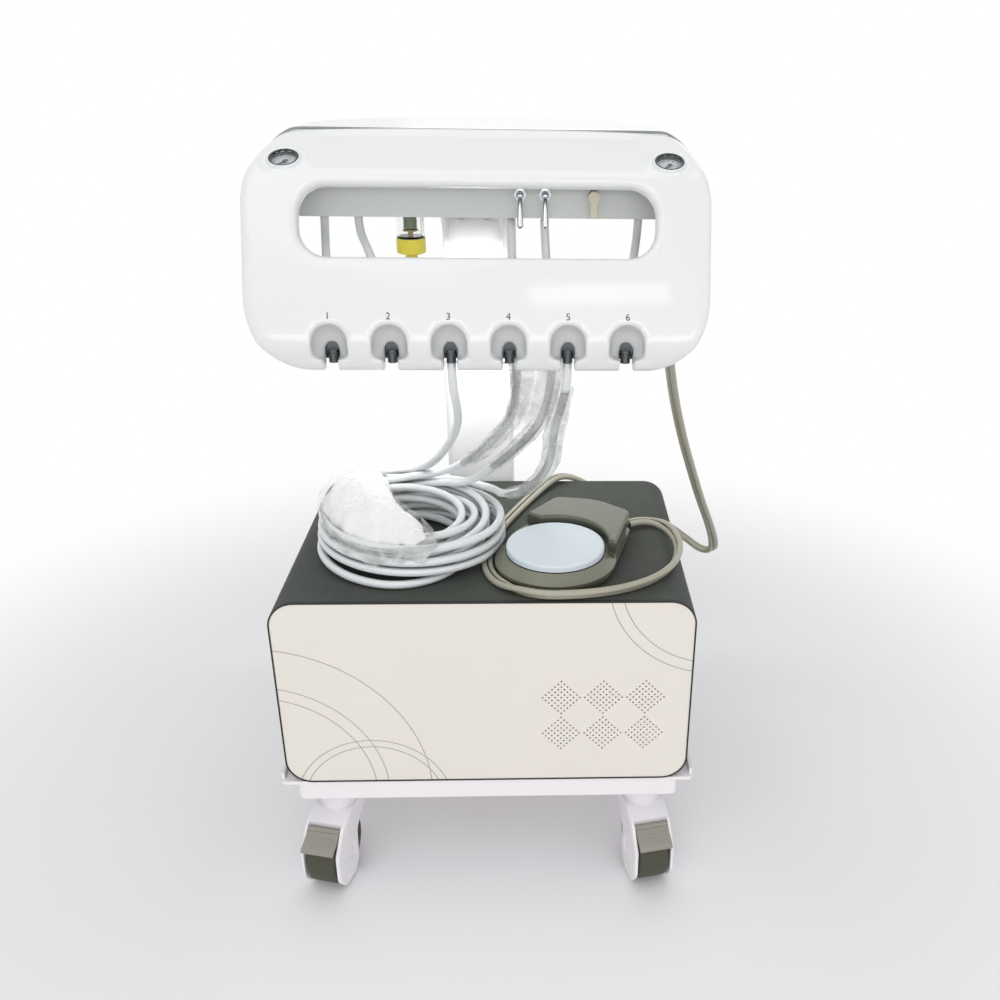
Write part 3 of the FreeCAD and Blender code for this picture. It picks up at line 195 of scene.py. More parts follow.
# Where each hose runs in the coil: angle in degrees, distance from its middle, height above the cabinet.
# Hoses 1 and 4 go down on the outside and rise inside of that; hoses 2 and 3 do the same nearer the middle.
COIL_STATIONS = {
    "handpiece_hose_1": [(102, 84, 50), (122, 89, 48), (686, 91, 13), (746, 92, 11.6), (807, 92, COIL_LOW),
                         (867, 76, COIL_LOW), (1200, 76, 38.9), (1262, 65, 43)],
    "handpiece_hose_2": [(65, 70, 57), (80, 66.5, 53), (100, 65, 50.5), (125, 64, 48), (838, 64, COIL_LOW),
                         (898, 52, COIL_LOW), (1295, 52, 41)],
    "handpiece_hose_3": [(63, 65, 46.5), (80, 62.5, 42.5), (100, 62.5, 39), (125, 64, 36),
                         (641, 64, COIL_LOW), (701, 52, COIL_LOW), (757, 52, COIL_LOW), (1225, 52, COIL_TOP)],
    "handpiece_hose_4": [(25, 91, 46.5), (60, 90, 40), (102, 90, 36.5), (540, 91, 9.8), (626, 94, COIL_LOW),
                         (655, 85, 5), (692, 76, 13.4), (730, 76, 13.4), (790, 76, COIL_LOW),
                         (1198, 76, COIL_TOP)],
}


def coil_point(angle, radius, height):
    """A place in the coil, which is a little oval, with its low turns fanned out to the front left."""
    turn = math.radians(angle)
    low = 1 - height / COIL_TOP
    fan = COIL_FAN * low * max(0.0, math.cos(turn - math.radians(COIL_FAN_TO)))
    oval = COIL_OVAL * math.cos(2 * turn + 0.5)
    reach = radius * (COIL_STRETCH + fan + oval) + COIL_WANDER * math.sin(0.83 * turn + radius)
    x = COIL_MIDDLE[0] + reach * math.cos(turn)
    y = COIL_MIDDLE[1] + reach * math.sin(turn)
    return x, y, CABINET_TOP + height


def coil_turns(stations):
    """Points round the coil from station to station, about POINTS_PER_TURN to a turn."""
    points = []
    step = 360 / POINTS_PER_TURN
    for (a0, r0, h0), (a1, r1, h1) in zip(stations, stations[1:]):
        count = max(1, round((a1 - a0) / step))
        for i in range(count):
            t = i / count
            points.append(coil_point(a0 + (a1 - a0) * t, r0 + (r1 - r0) * t, h0 + (h1 - h0) * t))
    return points + [coil_point(*stations[-1])]


def hose_spline(name, points):
    """A curve object with one open smooth spline along the points."""
    curve = bpy.data.curves.new(name, "CURVE")
    curve.dimensions = "3D"
    spline = curve.splines.new("NURBS")
    spline.points.add(len(points) - 1)
    for control, point in zip(spline.points, points):
        control.co = (*at(*point), 1.0)
    spline.order_u = 3
    spline.use_endpoint_u = True
    spline.resolution_u = 6
    curve.twist_mode = "Z_UP"
    return in_scene(name, curve)


def spline_line(piece):
    """The points that a curve with no bevel runs through."""
    mesh = evaluated_mesh(piece, "line")
    line = [v.co.copy() for v in mesh.vertices]
    bpy.data.meshes.remove(mesh)
    return line


CONNECTOR = [(0, 0), (3.9, 0), (5.4, 1), (5.4, 12), (4.6, 13), (4.6, 15), (6.3, 16), (6.3, 27), (5.6, 28),
             (5.6, 34), (4.2, 34.5), (4.2, 38), (0, 38)]
CONNECTOR_OVERLAP = 2


def hose_connector(name, line, material):
    """The chromed coupling on a hose's far end."""
    shape = lathe(CONNECTOR, 28)
    along = line[-1] - line[-4]
    shape.transform(facing(along, line[-1] - along.normalized() * CONNECTOR_OVERLAP * MM))
    piece = piece_from_bmesh(shape, name, material, "cabinet")
    sharpen(piece)
    return piece


def add_handpiece_hoses(hose_finish, chrome):
    """Four hoses that hang from the head, run into the coil and end in their couplings."""
    for number, (name, route) in enumerate(HOSE_ROUTES.items(), 1):
        points = route + coil_turns(COIL_STATIONS[name])
        guide = hose_spline(f"hose_guide_{number}", points)
        line = spline_line(guide)
        guide.data.bevel_depth = HOSE / 2 * MM
        guide.data.bevel_resolution = 4
        guide.data.use_fill_caps = True
        tube = mesh_instead(guide, f"coiled_hose_{number}")
        piece = piece_from(tube, tube.name, hose_finish, HANGING)
        connector = hose_connector(f"hose_connector_{number}", line, chrome)
        replaced = [name, "hose_coil"] if number == 1 else [name]
        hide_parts(*replaced)


PEDAL_HOSE_WIDTH = 12.4
PEDAL_RIB = 6.6
PEDAL_LIE = CABINET_TOP + PEDAL_RIB / 2 + 0.3
PEDAL_ROLL = 58
PEDAL_ROLLED = PEDAL_LIE + 2.3
PEDAL_ROUTE = [
    (152.57, 157.76, 385.6), (164.22, 167.20, 385.0), (184, 167, 384), (198, 152, PEDAL_ROLLED),
    (204, 126, PEDAL_ROLLED), (203, 96, PEDAL_ROLLED), (193, 64, PEDAL_ROLLED), (173, 37, PEDAL_ROLLED),
    (146, 18, PEDAL_ROLLED), (114, 7, PEDAL_ROLLED), (84, 3, PEDAL_ROLLED), (58, 3, PEDAL_ROLLED),
    (36, 11, PEDAL_ROLLED), (17, 27, PEDAL_LIE + 1.2), (5, 48, PEDAL_LIE), (0, 73, PEDAL_LIE),
    (0, 100, PEDAL_LIE), (4, 128, PEDAL_LIE), (12, 158, PEDAL_LIE), (24, 190, PEDAL_LIE),
    (38, 224, PEDAL_LIE), (54, 256, PEDAL_LIE + 2), (74, 288, PEDAL_LIE + 6),
    (96, 308, 379), (122, 317, 360), (152, 319, 344), (184, 317, 328),
    (216, 312, 312), (244, 304, 294), (262, 298, 281), (277, 288, 285), (273, 276, 309), (262, 260, 340),
    (246, 242, 380), (230, 223, 426), (214, 205, 474), (199, 189, 530), (189, 179, 588), (181, 172, 642),
    (174.4, 168.4, 700), (174, 167.6, 744),
]


def twin_profile():
    """The section of the foot control's hose: two round ribs side by side."""
    curve = bpy.data.curves.new("twin_profile", "CURVE")
    spline = curve.splines.new("POLY")
    rib = PEDAL_RIB / 2
    middle = PEDAL_HOSE_WIDTH / 2 - rib
    meet = math.degrees(math.acos(middle / rib))
    points = []
    for side in (0, 180):
        sweep = 180 - meet
        for i in range(11):
            turn = math.radians(side - sweep + 2 * sweep * i / 10)
            shift = middle if side == 0 else -middle
            points.append((shift + rib * math.cos(turn), rib * math.sin(turn)))
    spline.points.add(len(points) - 1)
    for control, (x, y) in zip(spline.points, points):
        control.co = (x * MM, y * MM, 0, 1)
    spline.use_cyclic_u = True
    return in_scene("twin_profile", curve)


def add_pedal_hose(material):
    """The foot control's twin hose, from its gland round the cabinet's top and up to the head."""
    guide = hose_spline("pedal_hose_guide", PEDAL_ROUTE)
    for control, (_, _, z) in zip(guide.data.splines[0].points, PEDAL_ROUTE):
        control.tilt = math.radians(PEDAL_ROLL) if z == PEDAL_ROLLED else 0
    line = spline_line(guide)
    profile = twin_profile()
    guide.data.bevel_mode = "OBJECT"
    guide.data.bevel_object = profile
    guide.data.use_fill_caps = True
    mesh = mesh_instead(guide, "twin_pedal_hose")
    bpy.data.objects.remove(profile)
    piece = piece_from(mesh, "twin_pedal_hose", material, HANGING)
    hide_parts("pedal_hose")


# ---- the moulded head ----
SKIN_CELL = 2.26
SKIN_ROUNDS = 7
ROLL_CELL = 3.2
ROLL_ROUNDS = 34
SETTLE_ROUNDS = 3
FASCIA_CHIN = (38.0, 620.0)
FASCIA_HEADER = (90.0, 763.5)
DECK_FRONT = (156.0, 796.0)
GAUGE_X = 173.0
GAUGE_SLIDE = 19.5


def merged_copy(node, name):
    """An object with a welded copy of a CAD node's mesh."""
    shape = bmesh.new()
    shape.from_mesh(frame["nodes"][node].data)
    bmesh.ops.remove_doubles(shape, verts=shape.verts, dist=2e-6)
    mesh = bpy.data.meshes.new(name)
    shape.to_mesh(mesh)
    shape.free()
    return in_scene(name, mesh)


def smooth(piece, rounds):
    """Adds rounds of smoothing to a piece's modifiers."""
    roll = piece.modifiers.new("roll", "SMOOTH")
    roll.factor = 0.5
    roll.iterations = rounds


def remesh(piece, cell, rounds):
    """Evens out a mesh at a cell size in millimetres and rolls its edges over by smoothing rounds."""
    even = piece.modifiers.new("even", "REMESH")
    even.mode = "VOXEL"
    even.voxel_size = cell * MM
    smooth(piece, rounds)
    with_modifiers(piece)


def outer_form(source):
    """The head's closed outer form with widely rounded edges."""
    shape = bmesh.new()
    shape.from_mesh(source.data)
    hull = bmesh.ops.convex_hull(shape, input=shape.verts)
    inner = {v for v in hull["geom_interior"] + hull["geom_unused"] if isinstance(v, bmesh.types.BMVert)}
    bmesh.ops.delete(shape, geom=list(inner), context="VERTS")
    skin = set(hull["geom"])
    loose = [face for face in shape.faces if face not in skin]
    bmesh.ops.delete(shape, geom=loose, context="FACES")
    mesh = bpy.data.meshes.new("outer_form")
    shape.to_mesh(mesh)
    shape.free()
    form = in_scene("outer_form", mesh)
    remesh(form, ROLL_CELL, ROLL_ROUNDS)
    return form


def add_head(material):
    """The head's skin, with every moulded edge rolled over softly."""
    skin = merged_copy("head_shell", "head_moulding")
    form = outer_form(skin)
    remesh(skin, SKIN_CELL, SKIN_ROUNDS)
    tuck = skin.modifiers.new("tuck", "SHRINKWRAP")
    tuck.target = form
    tuck.wrap_method = "NEAREST_SURFACEPOINT"
    tuck.wrap_mode = "INSIDE"
    smooth(skin, SETTLE_ROUNDS)
    with_modifiers(skin)
    bpy.data.objects.remove(form)
    mesh = skin.data
    bpy.data.objects.remove(skin)
    piece = piece_from(mesh, "head_moulding", material, "mast")
    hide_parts("head_shell")


def fascia_y(z):
    """The fascia's outer face at a height."""
    (y0, z0), (y1, z1) = FASCIA_CHIN, FASCIA_HEADER
    return y0 + (z - z0) * (y1 - y0) / (z1 - z0)


def face_frame(low, high, place, slide, out):
    """A matrix with X across a sloped face, Y up it and Z square out of it, moved up and out from a place."""
    up = Vector((0, high[0] - low[0], high[1] - low[1])).normalized()
    across = Vector((1, 0, 0))
    outward = across.cross(up)
    turn = Matrix((across, up, outward)).transposed().to_4x4()
    return Matrix.Translation(place + (up * slide + outward * out) * MM) @ turn


def fascia_frame(x, z, out):
    """The matrix of a place at a height on the fascia."""
    return face_frame(FASCIA_CHIN, FASCIA_HEADER, at(x, fascia_y(z), z), 0, out)


def slope_frame(x, slide, out):
    """The matrix of a place on the head's slope, some way up from its lower edge."""
    return face_frame(FASCIA_HEADER, DECK_FRONT, at(x, *FASCIA_HEADER), slide, out)


def add_print(text, name, size, matrix, material, body):
    """A printed sign as a thin mesh."""
    curve = bpy.data.curves.new(name, "FONT")
    curve.body = text
    curve.size = size * MM
    curve.align_x = "CENTER"
    curve.align_y = "CENTER"
    curve.extrude = 0.04 * MM
    curve.resolution_u = 3
    mesh = mesh_instead(in_scene(name, curve), name)
    mesh.transform(matrix)
    sharpen(piece_from(mesh, name, material, body), 20)


SCOOP_SPACING = 53.9
NUMBER_PLACE = 646.0
NUMBER_SIZE = 9.0
NUMBER_OUT = 0.12


def add_holder_numbers(material):
    """A plain number above each of the six holders."""
    for index in range(6):
        x = SCOOP_SPACING * (index - 2.5)
        matrix = fascia_frame(x, NUMBER_PLACE, NUMBER_OUT)
        add_print(str(index + 1), f"holder_number_{index + 1}", NUMBER_SIZE, matrix, material, "mast")


DIAL_DEPTH = 3.15
DIAL_EDGE = 10.6
DIAL_STEPS = 10
DIAL_START = 225
DIAL_SWEEP = 270
LONG_MARK = 2.6
SHORT_MARK = 1.6
MARK_WIDTH = 0.5
MARK_HEIGHT = 0.06
BAND_RADII = (7.4, 8.1)
BAND_START = -45
BAND_SWEEP = 60
DIAL_NUMBER = 3.2
DIAL_NUMBERS = (("0", -3.6), ("8", 3.6))
DIAL_NUMBERS_UP = -5.6


def dial_marks(matrix):
    """The ring of scale marks on a gauge's face, longer at every second step."""
    shape = bmesh.new()
    for step in range(DIAL_STEPS + 1):
        turn = math.radians(DIAL_START - DIAL_SWEEP / DIAL_STEPS * step)
        length = LONG_MARK if step % 2 == 0 else SHORT_MARK
        made = bmesh.ops.create_cube(shape, size=1.0)["verts"]
        scale = Matrix.Diagonal((length * MM, MARK_WIDTH * MM, MARK_HEIGHT * MM, 1))
        middle = (DIAL_EDGE - length / 2) * MM
        place = Matrix.Rotation(turn, 4, "Z") @ Matrix.Translation((middle, 0, 0)) @ scale
        bmesh.ops.transform(shape, matrix=place, verts=made)
    shape.transform(matrix)
    return shape


def add_gauge_faces(ink, red):
    """Scale marks, a red arc and two plain numbers on each gauge's face."""
    for side, name in ((-1, "left"), (1, "right")):
        matrix = slope_frame(side * GAUGE_X, GAUGE_SLIDE, -DIAL_DEPTH)
        piece_from_bmesh(dial_marks(matrix), f"{name}_dial_marks", ink, "mast")
        band = bmesh.new()
        ends = [band.verts.new((r * MM, 0, 0)) for r in BAND_RADII]
        edge = band.edges.new(ends)
        bmesh.ops.spin(band, geom=ends + [edge], cent=(0, 0, 0), axis=(0, 0, 1),
                       angle=math.radians(BAND_SWEEP), steps=14)
        band.transform(matrix @ Matrix.Rotation(math.radians(BAND_START), 4, "Z"))
        piece_from_bmesh(band, f"{name}_dial_band", red, "mast")
        for text, x in DIAL_NUMBERS:
            place = matrix @ Matrix.Translation((x * MM, DIAL_NUMBERS_UP * MM, 0))
            add_print(text, f"{name}_dial_{text}", DIAL_NUMBER, place, ink, "mast")


# The deck's lid meets the front of the head in a real seam; this grey strip is painted shadow in its gap,
# opening up into wider painted shadow on the shoulders.
SEAM_Y = 158.5
SEAM_TOP = 796.3
HEAD_HALF = 211.5
SHOULDER = 60.0
SHOULDER_TOP = 800.0
SHOULDER_TURNS = (28, 40, 52, 62, 69)
SEAM_SUNK = 0.55
SEAM_WIDTH = 0.55
SEAM_WIDER = 1.75
SEAM_TURNS_BACK = 14
# The seam turns back and its painted shadow widens from this far out, over this width.
SEAM_OPENS = 120
SEAM_OPENING = 85


def add_deck_seam(material):
    """The seam across the deck, as a thin grey strip of painted shadow let into the skin."""
    points = []
    middle = HEAD_HALF - SHOULDER
    for degrees in SHOULDER_TURNS:
        turn = math.radians(degrees)
        points.append((middle + SHOULDER * math.cos(turn), SHOULDER_TOP - SHOULDER * (1 - math.sin(turn))))
    points += [(middle + 8, SEAM_TOP), (90, SEAM_TOP + 0.2), (30, SEAM_TOP + 0.2)]
    outline = points + [(-x, z) for x, z in reversed(points)]
    curve = bpy.data.curves.new("deck_seam", "CURVE")
    curve.dimensions = "3D"
    spline = curve.splines.new("NURBS")
    spline.points.add(len(outline) - 1)
    for control, (x, z) in zip(spline.points, outline):
        spread = max(0.0, (abs(x) - SEAM_OPENS) / SEAM_OPENING)
        control.co = (*at(x, SEAM_Y - SEAM_TURNS_BACK * spread * spread, z - SEAM_SUNK), 1.0)
        control.radius = SEAM_WIDTH + SEAM_WIDER * math.sin(math.pi * min(1.0, spread))
    spline.order_u = 3
    spline.use_endpoint_u = True
    spline.resolution_u = 8
    curve.bevel_depth = 0.5 * MM
    curve.bevel_resolution = 2
    mesh = mesh_instead(in_scene("deck_seam", curve), "deck_seam")
    piece_from(mesh, "deck_seam", material, "mast")


# ---- soft packing ----
WRAP_MIDDLE = (-128.0, 118.0)
WRAP_LOW = CABINET_TOP + 43.3
WRAP_SPINE = -46
# The bundle's outline from its middle: direction in degrees and reach.
WRAP_OUTLINE = [(-145, 40), (-116, 46), (-96, 58), (-72, 77), (-60, 87), (-52, 96), (-45, 97), (-38, 82),
                (-28, 58), (-14, 42), (8, 33), (35, 32), (60, 40), (77, 60), (88, 80), (102, 84), (122, 76),
                (148, 58), (180, 46), (215, 40)]
WRAP_FRONT = -72
WRAP_HIGH = 25
WRAP_THIN_END = 12
WRAP_LENGTH = 95
COIL_HOLLOW = 44
MOST_DROOP = 34.0
LOWEST_WRAP = CABINET_TOP + 1.5
# Each layer: how much further it reaches and how much thicker it is, how far from the coil's middle it starts
# to droop and how steeply, and its folds as size, seed and depth.
FOAM_LAYER = {"spread": 0.0, "thicker": 0.0, "shoulder": 82, "steepness": 1.2,
              "folds": [(42.0, 3.1, 3.4), (19.0, 6.2, 0.8)]}
FILM_LAYER = {"spread": 11.0, "thicker": 2.2, "shoulder": 95, "steepness": 2.4,
              "folds": [(32.0, 8.4, 3.0), (13.0, 4.4, 0.6)]}


def wrap_reach(degrees):
    """How far the bundle reaches from its middle in a direction."""
    turn = (degrees + 145) % 360 - 145
    for (a0, r0), (a1, r1) in zip(WRAP_OUTLINE, WRAP_OUTLINE[1:]):
        if turn <= a1:
            t = (turn - a0) / (a1 - a0)
            return r0 + (r1 - r0) * t * t * (3 - 2 * t)
    return WRAP_OUTLINE[-1][1]


def crumple(point, fine, seed):
    """How far a crumpled surface lies in or out at a point, as a share of its depth."""
    shifted = Vector(point) / fine + Vector((seed, 2.7 * seed, 0))
    folds = 1 - 2 * abs(noise.noise(shifted))
    return folds * 0.7 + noise.noise(shifted * 2.6) * 0.35


def wrap_place(unit, spread, thicker, shoulder, steepness):
    """Where a point of the unit ball lies on the bundle, in the maker's millimetres."""
    degrees = math.degrees(math.atan2(unit.y, unit.x))
    out = math.hypot(unit.x, unit.y)
    front = max(0.0, math.cos(math.radians(degrees - WRAP_FRONT)))
    reach = (wrap_reach(degrees) + spread * (0.2 + 1.5 * front)) * out
    x = WRAP_MIDDLE[0] + reach * math.cos(math.radians(degrees))
    y = WRAP_MIDDLE[1] + reach * math.sin(math.radians(degrees))
    forward = reach * math.cos(math.radians(degrees - WRAP_SPINE))
    high = WRAP_HIGH - (WRAP_HIGH - WRAP_THIN_END) * min(1.0, max(0.0, forward / WRAP_LENGTH)) + thicker
    height = high * max(0.0, unit.z) ** 0.8 if unit.z > 0 else 3 * unit.z
    from_coil = math.dist((x, y), COIL_MIDDLE)
    droop = max(0.0, from_coil - shoulder) * steepness + max(0.0, COIL_HOLLOW - from_coil) * 0.25
    return Vector((x, y, max(WRAP_LOW + height - min(droop, MOST_DROOP), LOWEST_WRAP)))


def wrap_bulge(material, name, spread, thicker, shoulder, steepness, folds):
    """A crumpled bundle lying on the coil, drooping where the coil no longer carries it."""
    shape = bmesh.new()
    bmesh.ops.create_icosphere(shape, subdivisions=7, radius=1.0)
    for vert in shape.verts:
        unit = vert.co.copy()
        place = wrap_place(unit, spread, thicker, shoulder, steepness)
        push = sum(crumple(place, fine, seed) * depth for fine, seed, depth in folds)
        vert.co = at(*(place + unit * push))
    return piece_from_bmesh(shape, name, material, "cabinet")


def add_packing(foam, film):
    """Foam round the handpieces with clear film drawn over it and over the coil's front."""
    pad = wrap_bulge(foam, "packing_foam", **FOAM_LAYER)
    cover = wrap_bulge(film, "packing_film", **FILM_LAYER)
    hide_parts("instrument_wrap")


# Film left round the hanging hoses: name, and middle, half width and half depth from top to bottom.
HOSE_FILMS = {
    "upper_hose_film": [(50, 112, 590, 27, 9), (52, 113, 572, 25, 9), (50, 114, 552, 23, 9),
                        (46, 117, 534, 23, 9), (42, 121, 518, 22, 9)],
    "left_hose_film": [(31, 117, 534, 9, 8), (26, 123, 519, 9, 8), (12, 143, 496, 9, 8), (-8, 165, 468, 8, 8),
                       (-24, 179, 452, 7, 7)],
    "middle_hose_film": [(55, 123, 518, 8, 8), (41, 139, 496, 9, 8), (24, 154, 473, 8, 7),
                         (8, 165, 455, 7, 7)],
    "right_hose_film": [(79, 67, 572, 8, 7), (74, 84, 544, 9, 8), (69, 101, 514, 10, 8), (67, 112, 482, 9, 8),
                        (57, 125, 456, 8, 8), (40, 136, 437, 7, 7), (24, 143, 430, 7, 7)],
}
FILM_SIDES = 56
FILM_ROWS = 90
# Size and depth of the film's coarse and fine folds.
FILM_FOLDS = ((9.0, 1.8), (4.5, 0.4))


def between(stations, t):
    """A smooth value of a list of stations at a share of its length."""
    spot = t * (len(stations) - 1)
    index = min(int(spot), len(stations) - 2)
    part = spot - index
    part = part * part * (3 - 2 * part) * 0.35 + part * 0.65
    return [a + (b - a) * part for a, b in zip(stations[index], stations[index + 1])]


def add_hose_film(name, stations, material):
    """A crinkled sheet of film wrapped round some of the hoses, with its two long edges at the back."""
    shape = bmesh.new()
    rows = []
    length = sum(math.dist(a[:3], b[:3]) for a, b in zip(stations, stations[1:]))
    for i in range(FILM_ROWS + 1):
        x, y, z, wide, deep = between(stations, i / FILM_ROWS)
        row = []
        for j in range(FILM_SIDES):
            turn = math.pi / 2 + math.tau * (j + 0.5) / FILM_SIDES
            out = Vector((math.cos(turn), math.sin(turn), 0))
            place = Vector((x + wide * out.x, y + deep * out.y, z + 0.5 * deep * out.y))
            drawn_out = Vector((wide * out.x, wide * out.y, 0.3 * length * i / FILM_ROWS))
            push = sum(crumple(drawn_out, fine, seed) * depth
                       for (fine, depth), seed in zip(FILM_FOLDS, stations[0]))
            row.append(shape.verts.new(at(*(place + out * push))))
        rows.append(row)
    for low, high in zip(rows, rows[1:]):
        for j in range(1, FILM_SIDES):
            shape.faces.new((low[j], high[j], high[j - 1], low[j - 1]))
    area = sum(face.calc_area() for face in shape.faces)
    piece = piece_from_bmesh(shape, name, material, HANGING)
    length *= MM


# ---- filter, screws and small hardware ----
FILTER = (-69.5, 153.0)


def add_filter_element(brass, porous):
    """The element inside the filter's clear bowl: a porous cylinder between two plates on a stem."""
    stem = lathe([(0, 699.5), (2.4, 699.5), (2.4, 703), (7.6, 703.6), (7.6, 705), (2.2, 705.6), (2.2, 734),
                  (0, 734)], 24)
    stem.transform(Matrix.Translation(at(*FILTER, 0)))
    sharpen(piece_from_bmesh(stem, "filter_stem", brass, "mast"))
    core = lathe([(2.3, 706), (6.4, 706), (6.4, 722), (8.4, 723), (8.4, 725.5), (2.3, 726)], 28)
    core.transform(Matrix.Translation(at(*FILTER, 0)))
    sharpen(piece_from_bmesh(core, "filter_core", porous, "mast"))


def screw_head(radius, height):
    """A pan-head screw with a cross recess, facing +Z, in millimetres."""
    shape = lathe([(0, height), (radius * 0.55, height), (radius * 0.86, height * 0.72),
                   (radius, height * 0.3), (radius, 0)], 20)
    for angle in (0, 90):
        cut = bmesh.ops.create_cube(shape, size=1.0)["verts"]
        scale = Matrix.Diagonal((radius * 1.1 * MM, radius * 0.2 * MM, 0.12 * MM, 1))
        turn = Matrix.Rotation(math.radians(angle), 4, "Z")
        place = Matrix.Translation((0, 0, height * MM))
        bmesh.ops.transform(shape, matrix=place @ turn @ scale, verts=cut)
    return shape


def add_screws(name, places, direction, radius, material, body):
    """Equal screws at several places, as one piece."""
    whole = bmesh.new()
    for place in places:
        one = screw_head(radius, radius * 0.5)
        one.transform(facing(direction, at(*place)))
        mesh = bpy.data.meshes.new("one_screw")
        one.to_mesh(mesh)
        one.free()
        whole.from_mesh(mesh)
        bpy.data.meshes.remove(mesh)
    sharpen(piece_from_bmesh(whole, name, material, body))


REAR_PANEL = 297.0
INLET_FLANGE = REAR_PANEL + 2.5


def add_all_screws(steel):
    """Screws of the rear panel and of the power inlet's flange."""
    panel = [(x, REAR_PANEL, z) for x in (-196, -60, 60, 196) for z in (176, 364)]
    add_screws("rear_panel_screws", panel, (0, 1, 0), 3.2, steel, "cabinet")
    flange = [(-150, INLET_FLANGE, z) for z in (190.5, 239.5)]
    add_screws("inlet_screws", flange, (0, 1, 0), 1.8, steel, "cabinet")


# ---- shader nodes ----
def fill(tree, node, inputs):
    """Puts a socket or a plain value into each named input of a node."""
    for label, value in inputs.items():
        if isinstance(value, bpy.types.NodeSocket):
            tree.links.new(value, node.inputs[label])
        else:
            node.inputs[label].default_value = value


def put(tree, kind, inputs=None, **settings):
    """A new shader node with its settings and inputs."""
    node = tree.nodes.new(kind)
    for label, value in settings.items():
        setattr(node, label, value)
    fill(tree, node, inputs or {})
    return node


def reckon(tree, operation, *terms, **settings):
    """The outcome of a sum over sockets and plain numbers."""
    return put(tree, "ShaderNodeMath", dict(enumerate(terms)), operation=operation, **settings).outputs[0]


def reckon_vector(tree, operation, *terms):
    """The node of a sum over vectors."""
    return put(tree, "ShaderNodeVectorMath", dict(enumerate(terms)), operation=operation)


def own_place(tree):
    """The socket with the object's own coordinates."""
    return put(tree, "ShaderNodeTexCoord").outputs["Object"]


def noise_value(tree, **inputs):
    """A noise over the object's own coordinates."""
    return put(tree, "ShaderNodeTexNoise", {"Vector": own_place(tree), **inputs}).outputs["Fac"]


def ranged(tree, value, **ends):
    """A value moved from one range to another, as From_Min, From_Max, To_Min and To_Max say."""
    inputs = {label.replace("_", " "): end for label, end in ends.items()}
    return put(tree, "ShaderNodeMapRange", {"Value": value, **inputs}).outputs["Result"]


def mixed(tree, factor, a, b, label=""):
    """One colour going over into another by a factor."""
    inputs = {"Factor": factor, "A": a, "B": b}
    return put(tree, "ShaderNodeMix", inputs, data_type="RGBA", label=label).outputs["Result"]


def linear(colour):
    """A colour given as 0-255 screen values, as the shader's linear values."""
    parts = [c / 255 for c in colour]
    return [p / 12.92 if p <= 0.04045 else ((p + 0.055) / 1.055) ** 2.4 for p in parts]


# ---- studio ----
SURROUND = (0.97, 0.98, 1.0, 1)
SURROUND_STRENGTH = 0.6
FLOOR_COLOUR = (0.93, 0.925, 0.935, 1)
FLOOR_ROUGHNESS = 0.7
FLOOR_SIZE = 12.0
# The floor goes over into the surround between these distances from the middle.
FADE_START = 0.5
FADE_END = 1.15
# Each lamp's place, what it points at, its width and height, and its power.
LAMPS = {
    "key": ((-0.7, -1.45, 2.1), (0, 0, 0.4), (1.5, 1.2), 6.3),
    "front": ((0.2, -2.7, 1.25), (0, 0, 0.35), (2.4, 0.6), 13),
    "fill": ((1.7, -1.2, 1.2), (0, 0, 0.4), (1.4, 1.4), 2.2),
    "top": ((0.0, 0.0, 2.3), (0, 0, 0.4), (1.6, 1.6), 5.8),
    "strip": ((0.2, -1.44, 1.318), (0.11, -0.105, 0.64), (0.33, 0.045), 0.22),
    "back": ((0.4, 2.0, 1.5), (0, 0, 0.4), (1.6, 1.0), 2),
    "inner": ((-0.01, 0.05, 0.60), (-0.01, 0.16, 0.45), (0.22, 0.04), 0.5),
}
# This one lights the column's front under the head, and is itself neither seen nor mirrored.
HIDDEN_LAMP = "inner"


def add_area_light(name, place, target, size, power):
    """A soft rectangular lamp that points at a target."""
    data = bpy.data.lights.new(name, "AREA")
    data.shape = "RECTANGLE"
    data.size, data.size_y = size
    data.energy = power
    lamp = in_scene(name, data)
    aim = (Vector(target) - Vector(place)).to_track_quat("-Z", "Y")
    lamp.matrix_world = Matrix.Translation(place) @ aim.to_matrix().to_4x4()
    if name == HIDDEN_LAMP:
        lamp.visible_camera = False
        lamp.visible_glossy = False


def seen_rays(tree):
    """One for a ray that shows the surround: seen directly, through clear pieces or off shiny ones."""
    rays = put(tree, "ShaderNodeLightPath").outputs
    total = rays["Is Camera Ray"]
    for kind in ("Is Transmission Ray", "Is Glossy Ray"):
        total = reckon(tree, "ADD", total, rays[kind], use_clamp=True)
    return total


def white_world():
    """An even pale surround that is seen as plain white."""
    world = bpy.data.worlds.new("surround")
    bpy.context.scene.world = world
    world.use_nodes = True
    tree = world.node_tree
    tree.nodes.clear()
    soft = put(tree, "ShaderNodeBackground", {"Color": SURROUND, "Strength": SURROUND_STRENGTH})
    plain = put(tree, "ShaderNodeBackground", {"Color": (1, 1, 1, 1), "Strength": 1.0})
    mix = put(tree, "ShaderNodeMixShader", {0: seen_rays(tree), 1: soft.outputs[0], 2: plain.outputs[0]})
    put(tree, "ShaderNodeOutputWorld", {0: mix.outputs[0]})


def floor_finish():
    """Pale matt floor that fades to plain white away from the unit."""
    material = bpy.data.materials.new("studio_floor")
    material.use_nodes = True
    tree = material.node_tree
    shader = tree.nodes["Principled BSDF"]
    fill(tree, shader, {"Base Color": FLOOR_COLOUR, "Roughness": FLOOR_ROUGHNESS})
    inputs = {"Value": reckon_vector(tree, "LENGTH", own_place(tree)).outputs["Value"],
              "From Min": FADE_START, "From Max": FADE_END}
    fade = put(tree, "ShaderNodeMapRange", inputs, interpolation_type="SMOOTHSTEP")
    share = reckon(tree, "MULTIPLY", fade.outputs["Result"], seen_rays(tree))
    white = put(tree, "ShaderNodeEmission")
    mix = put(tree, "ShaderNodeMixShader", {0: share, 1: shader.outputs[0], 2: white.outputs[0]})
    fill(tree, tree.nodes["Material Output"], {"Surface": mix.outputs[0]})
    return material


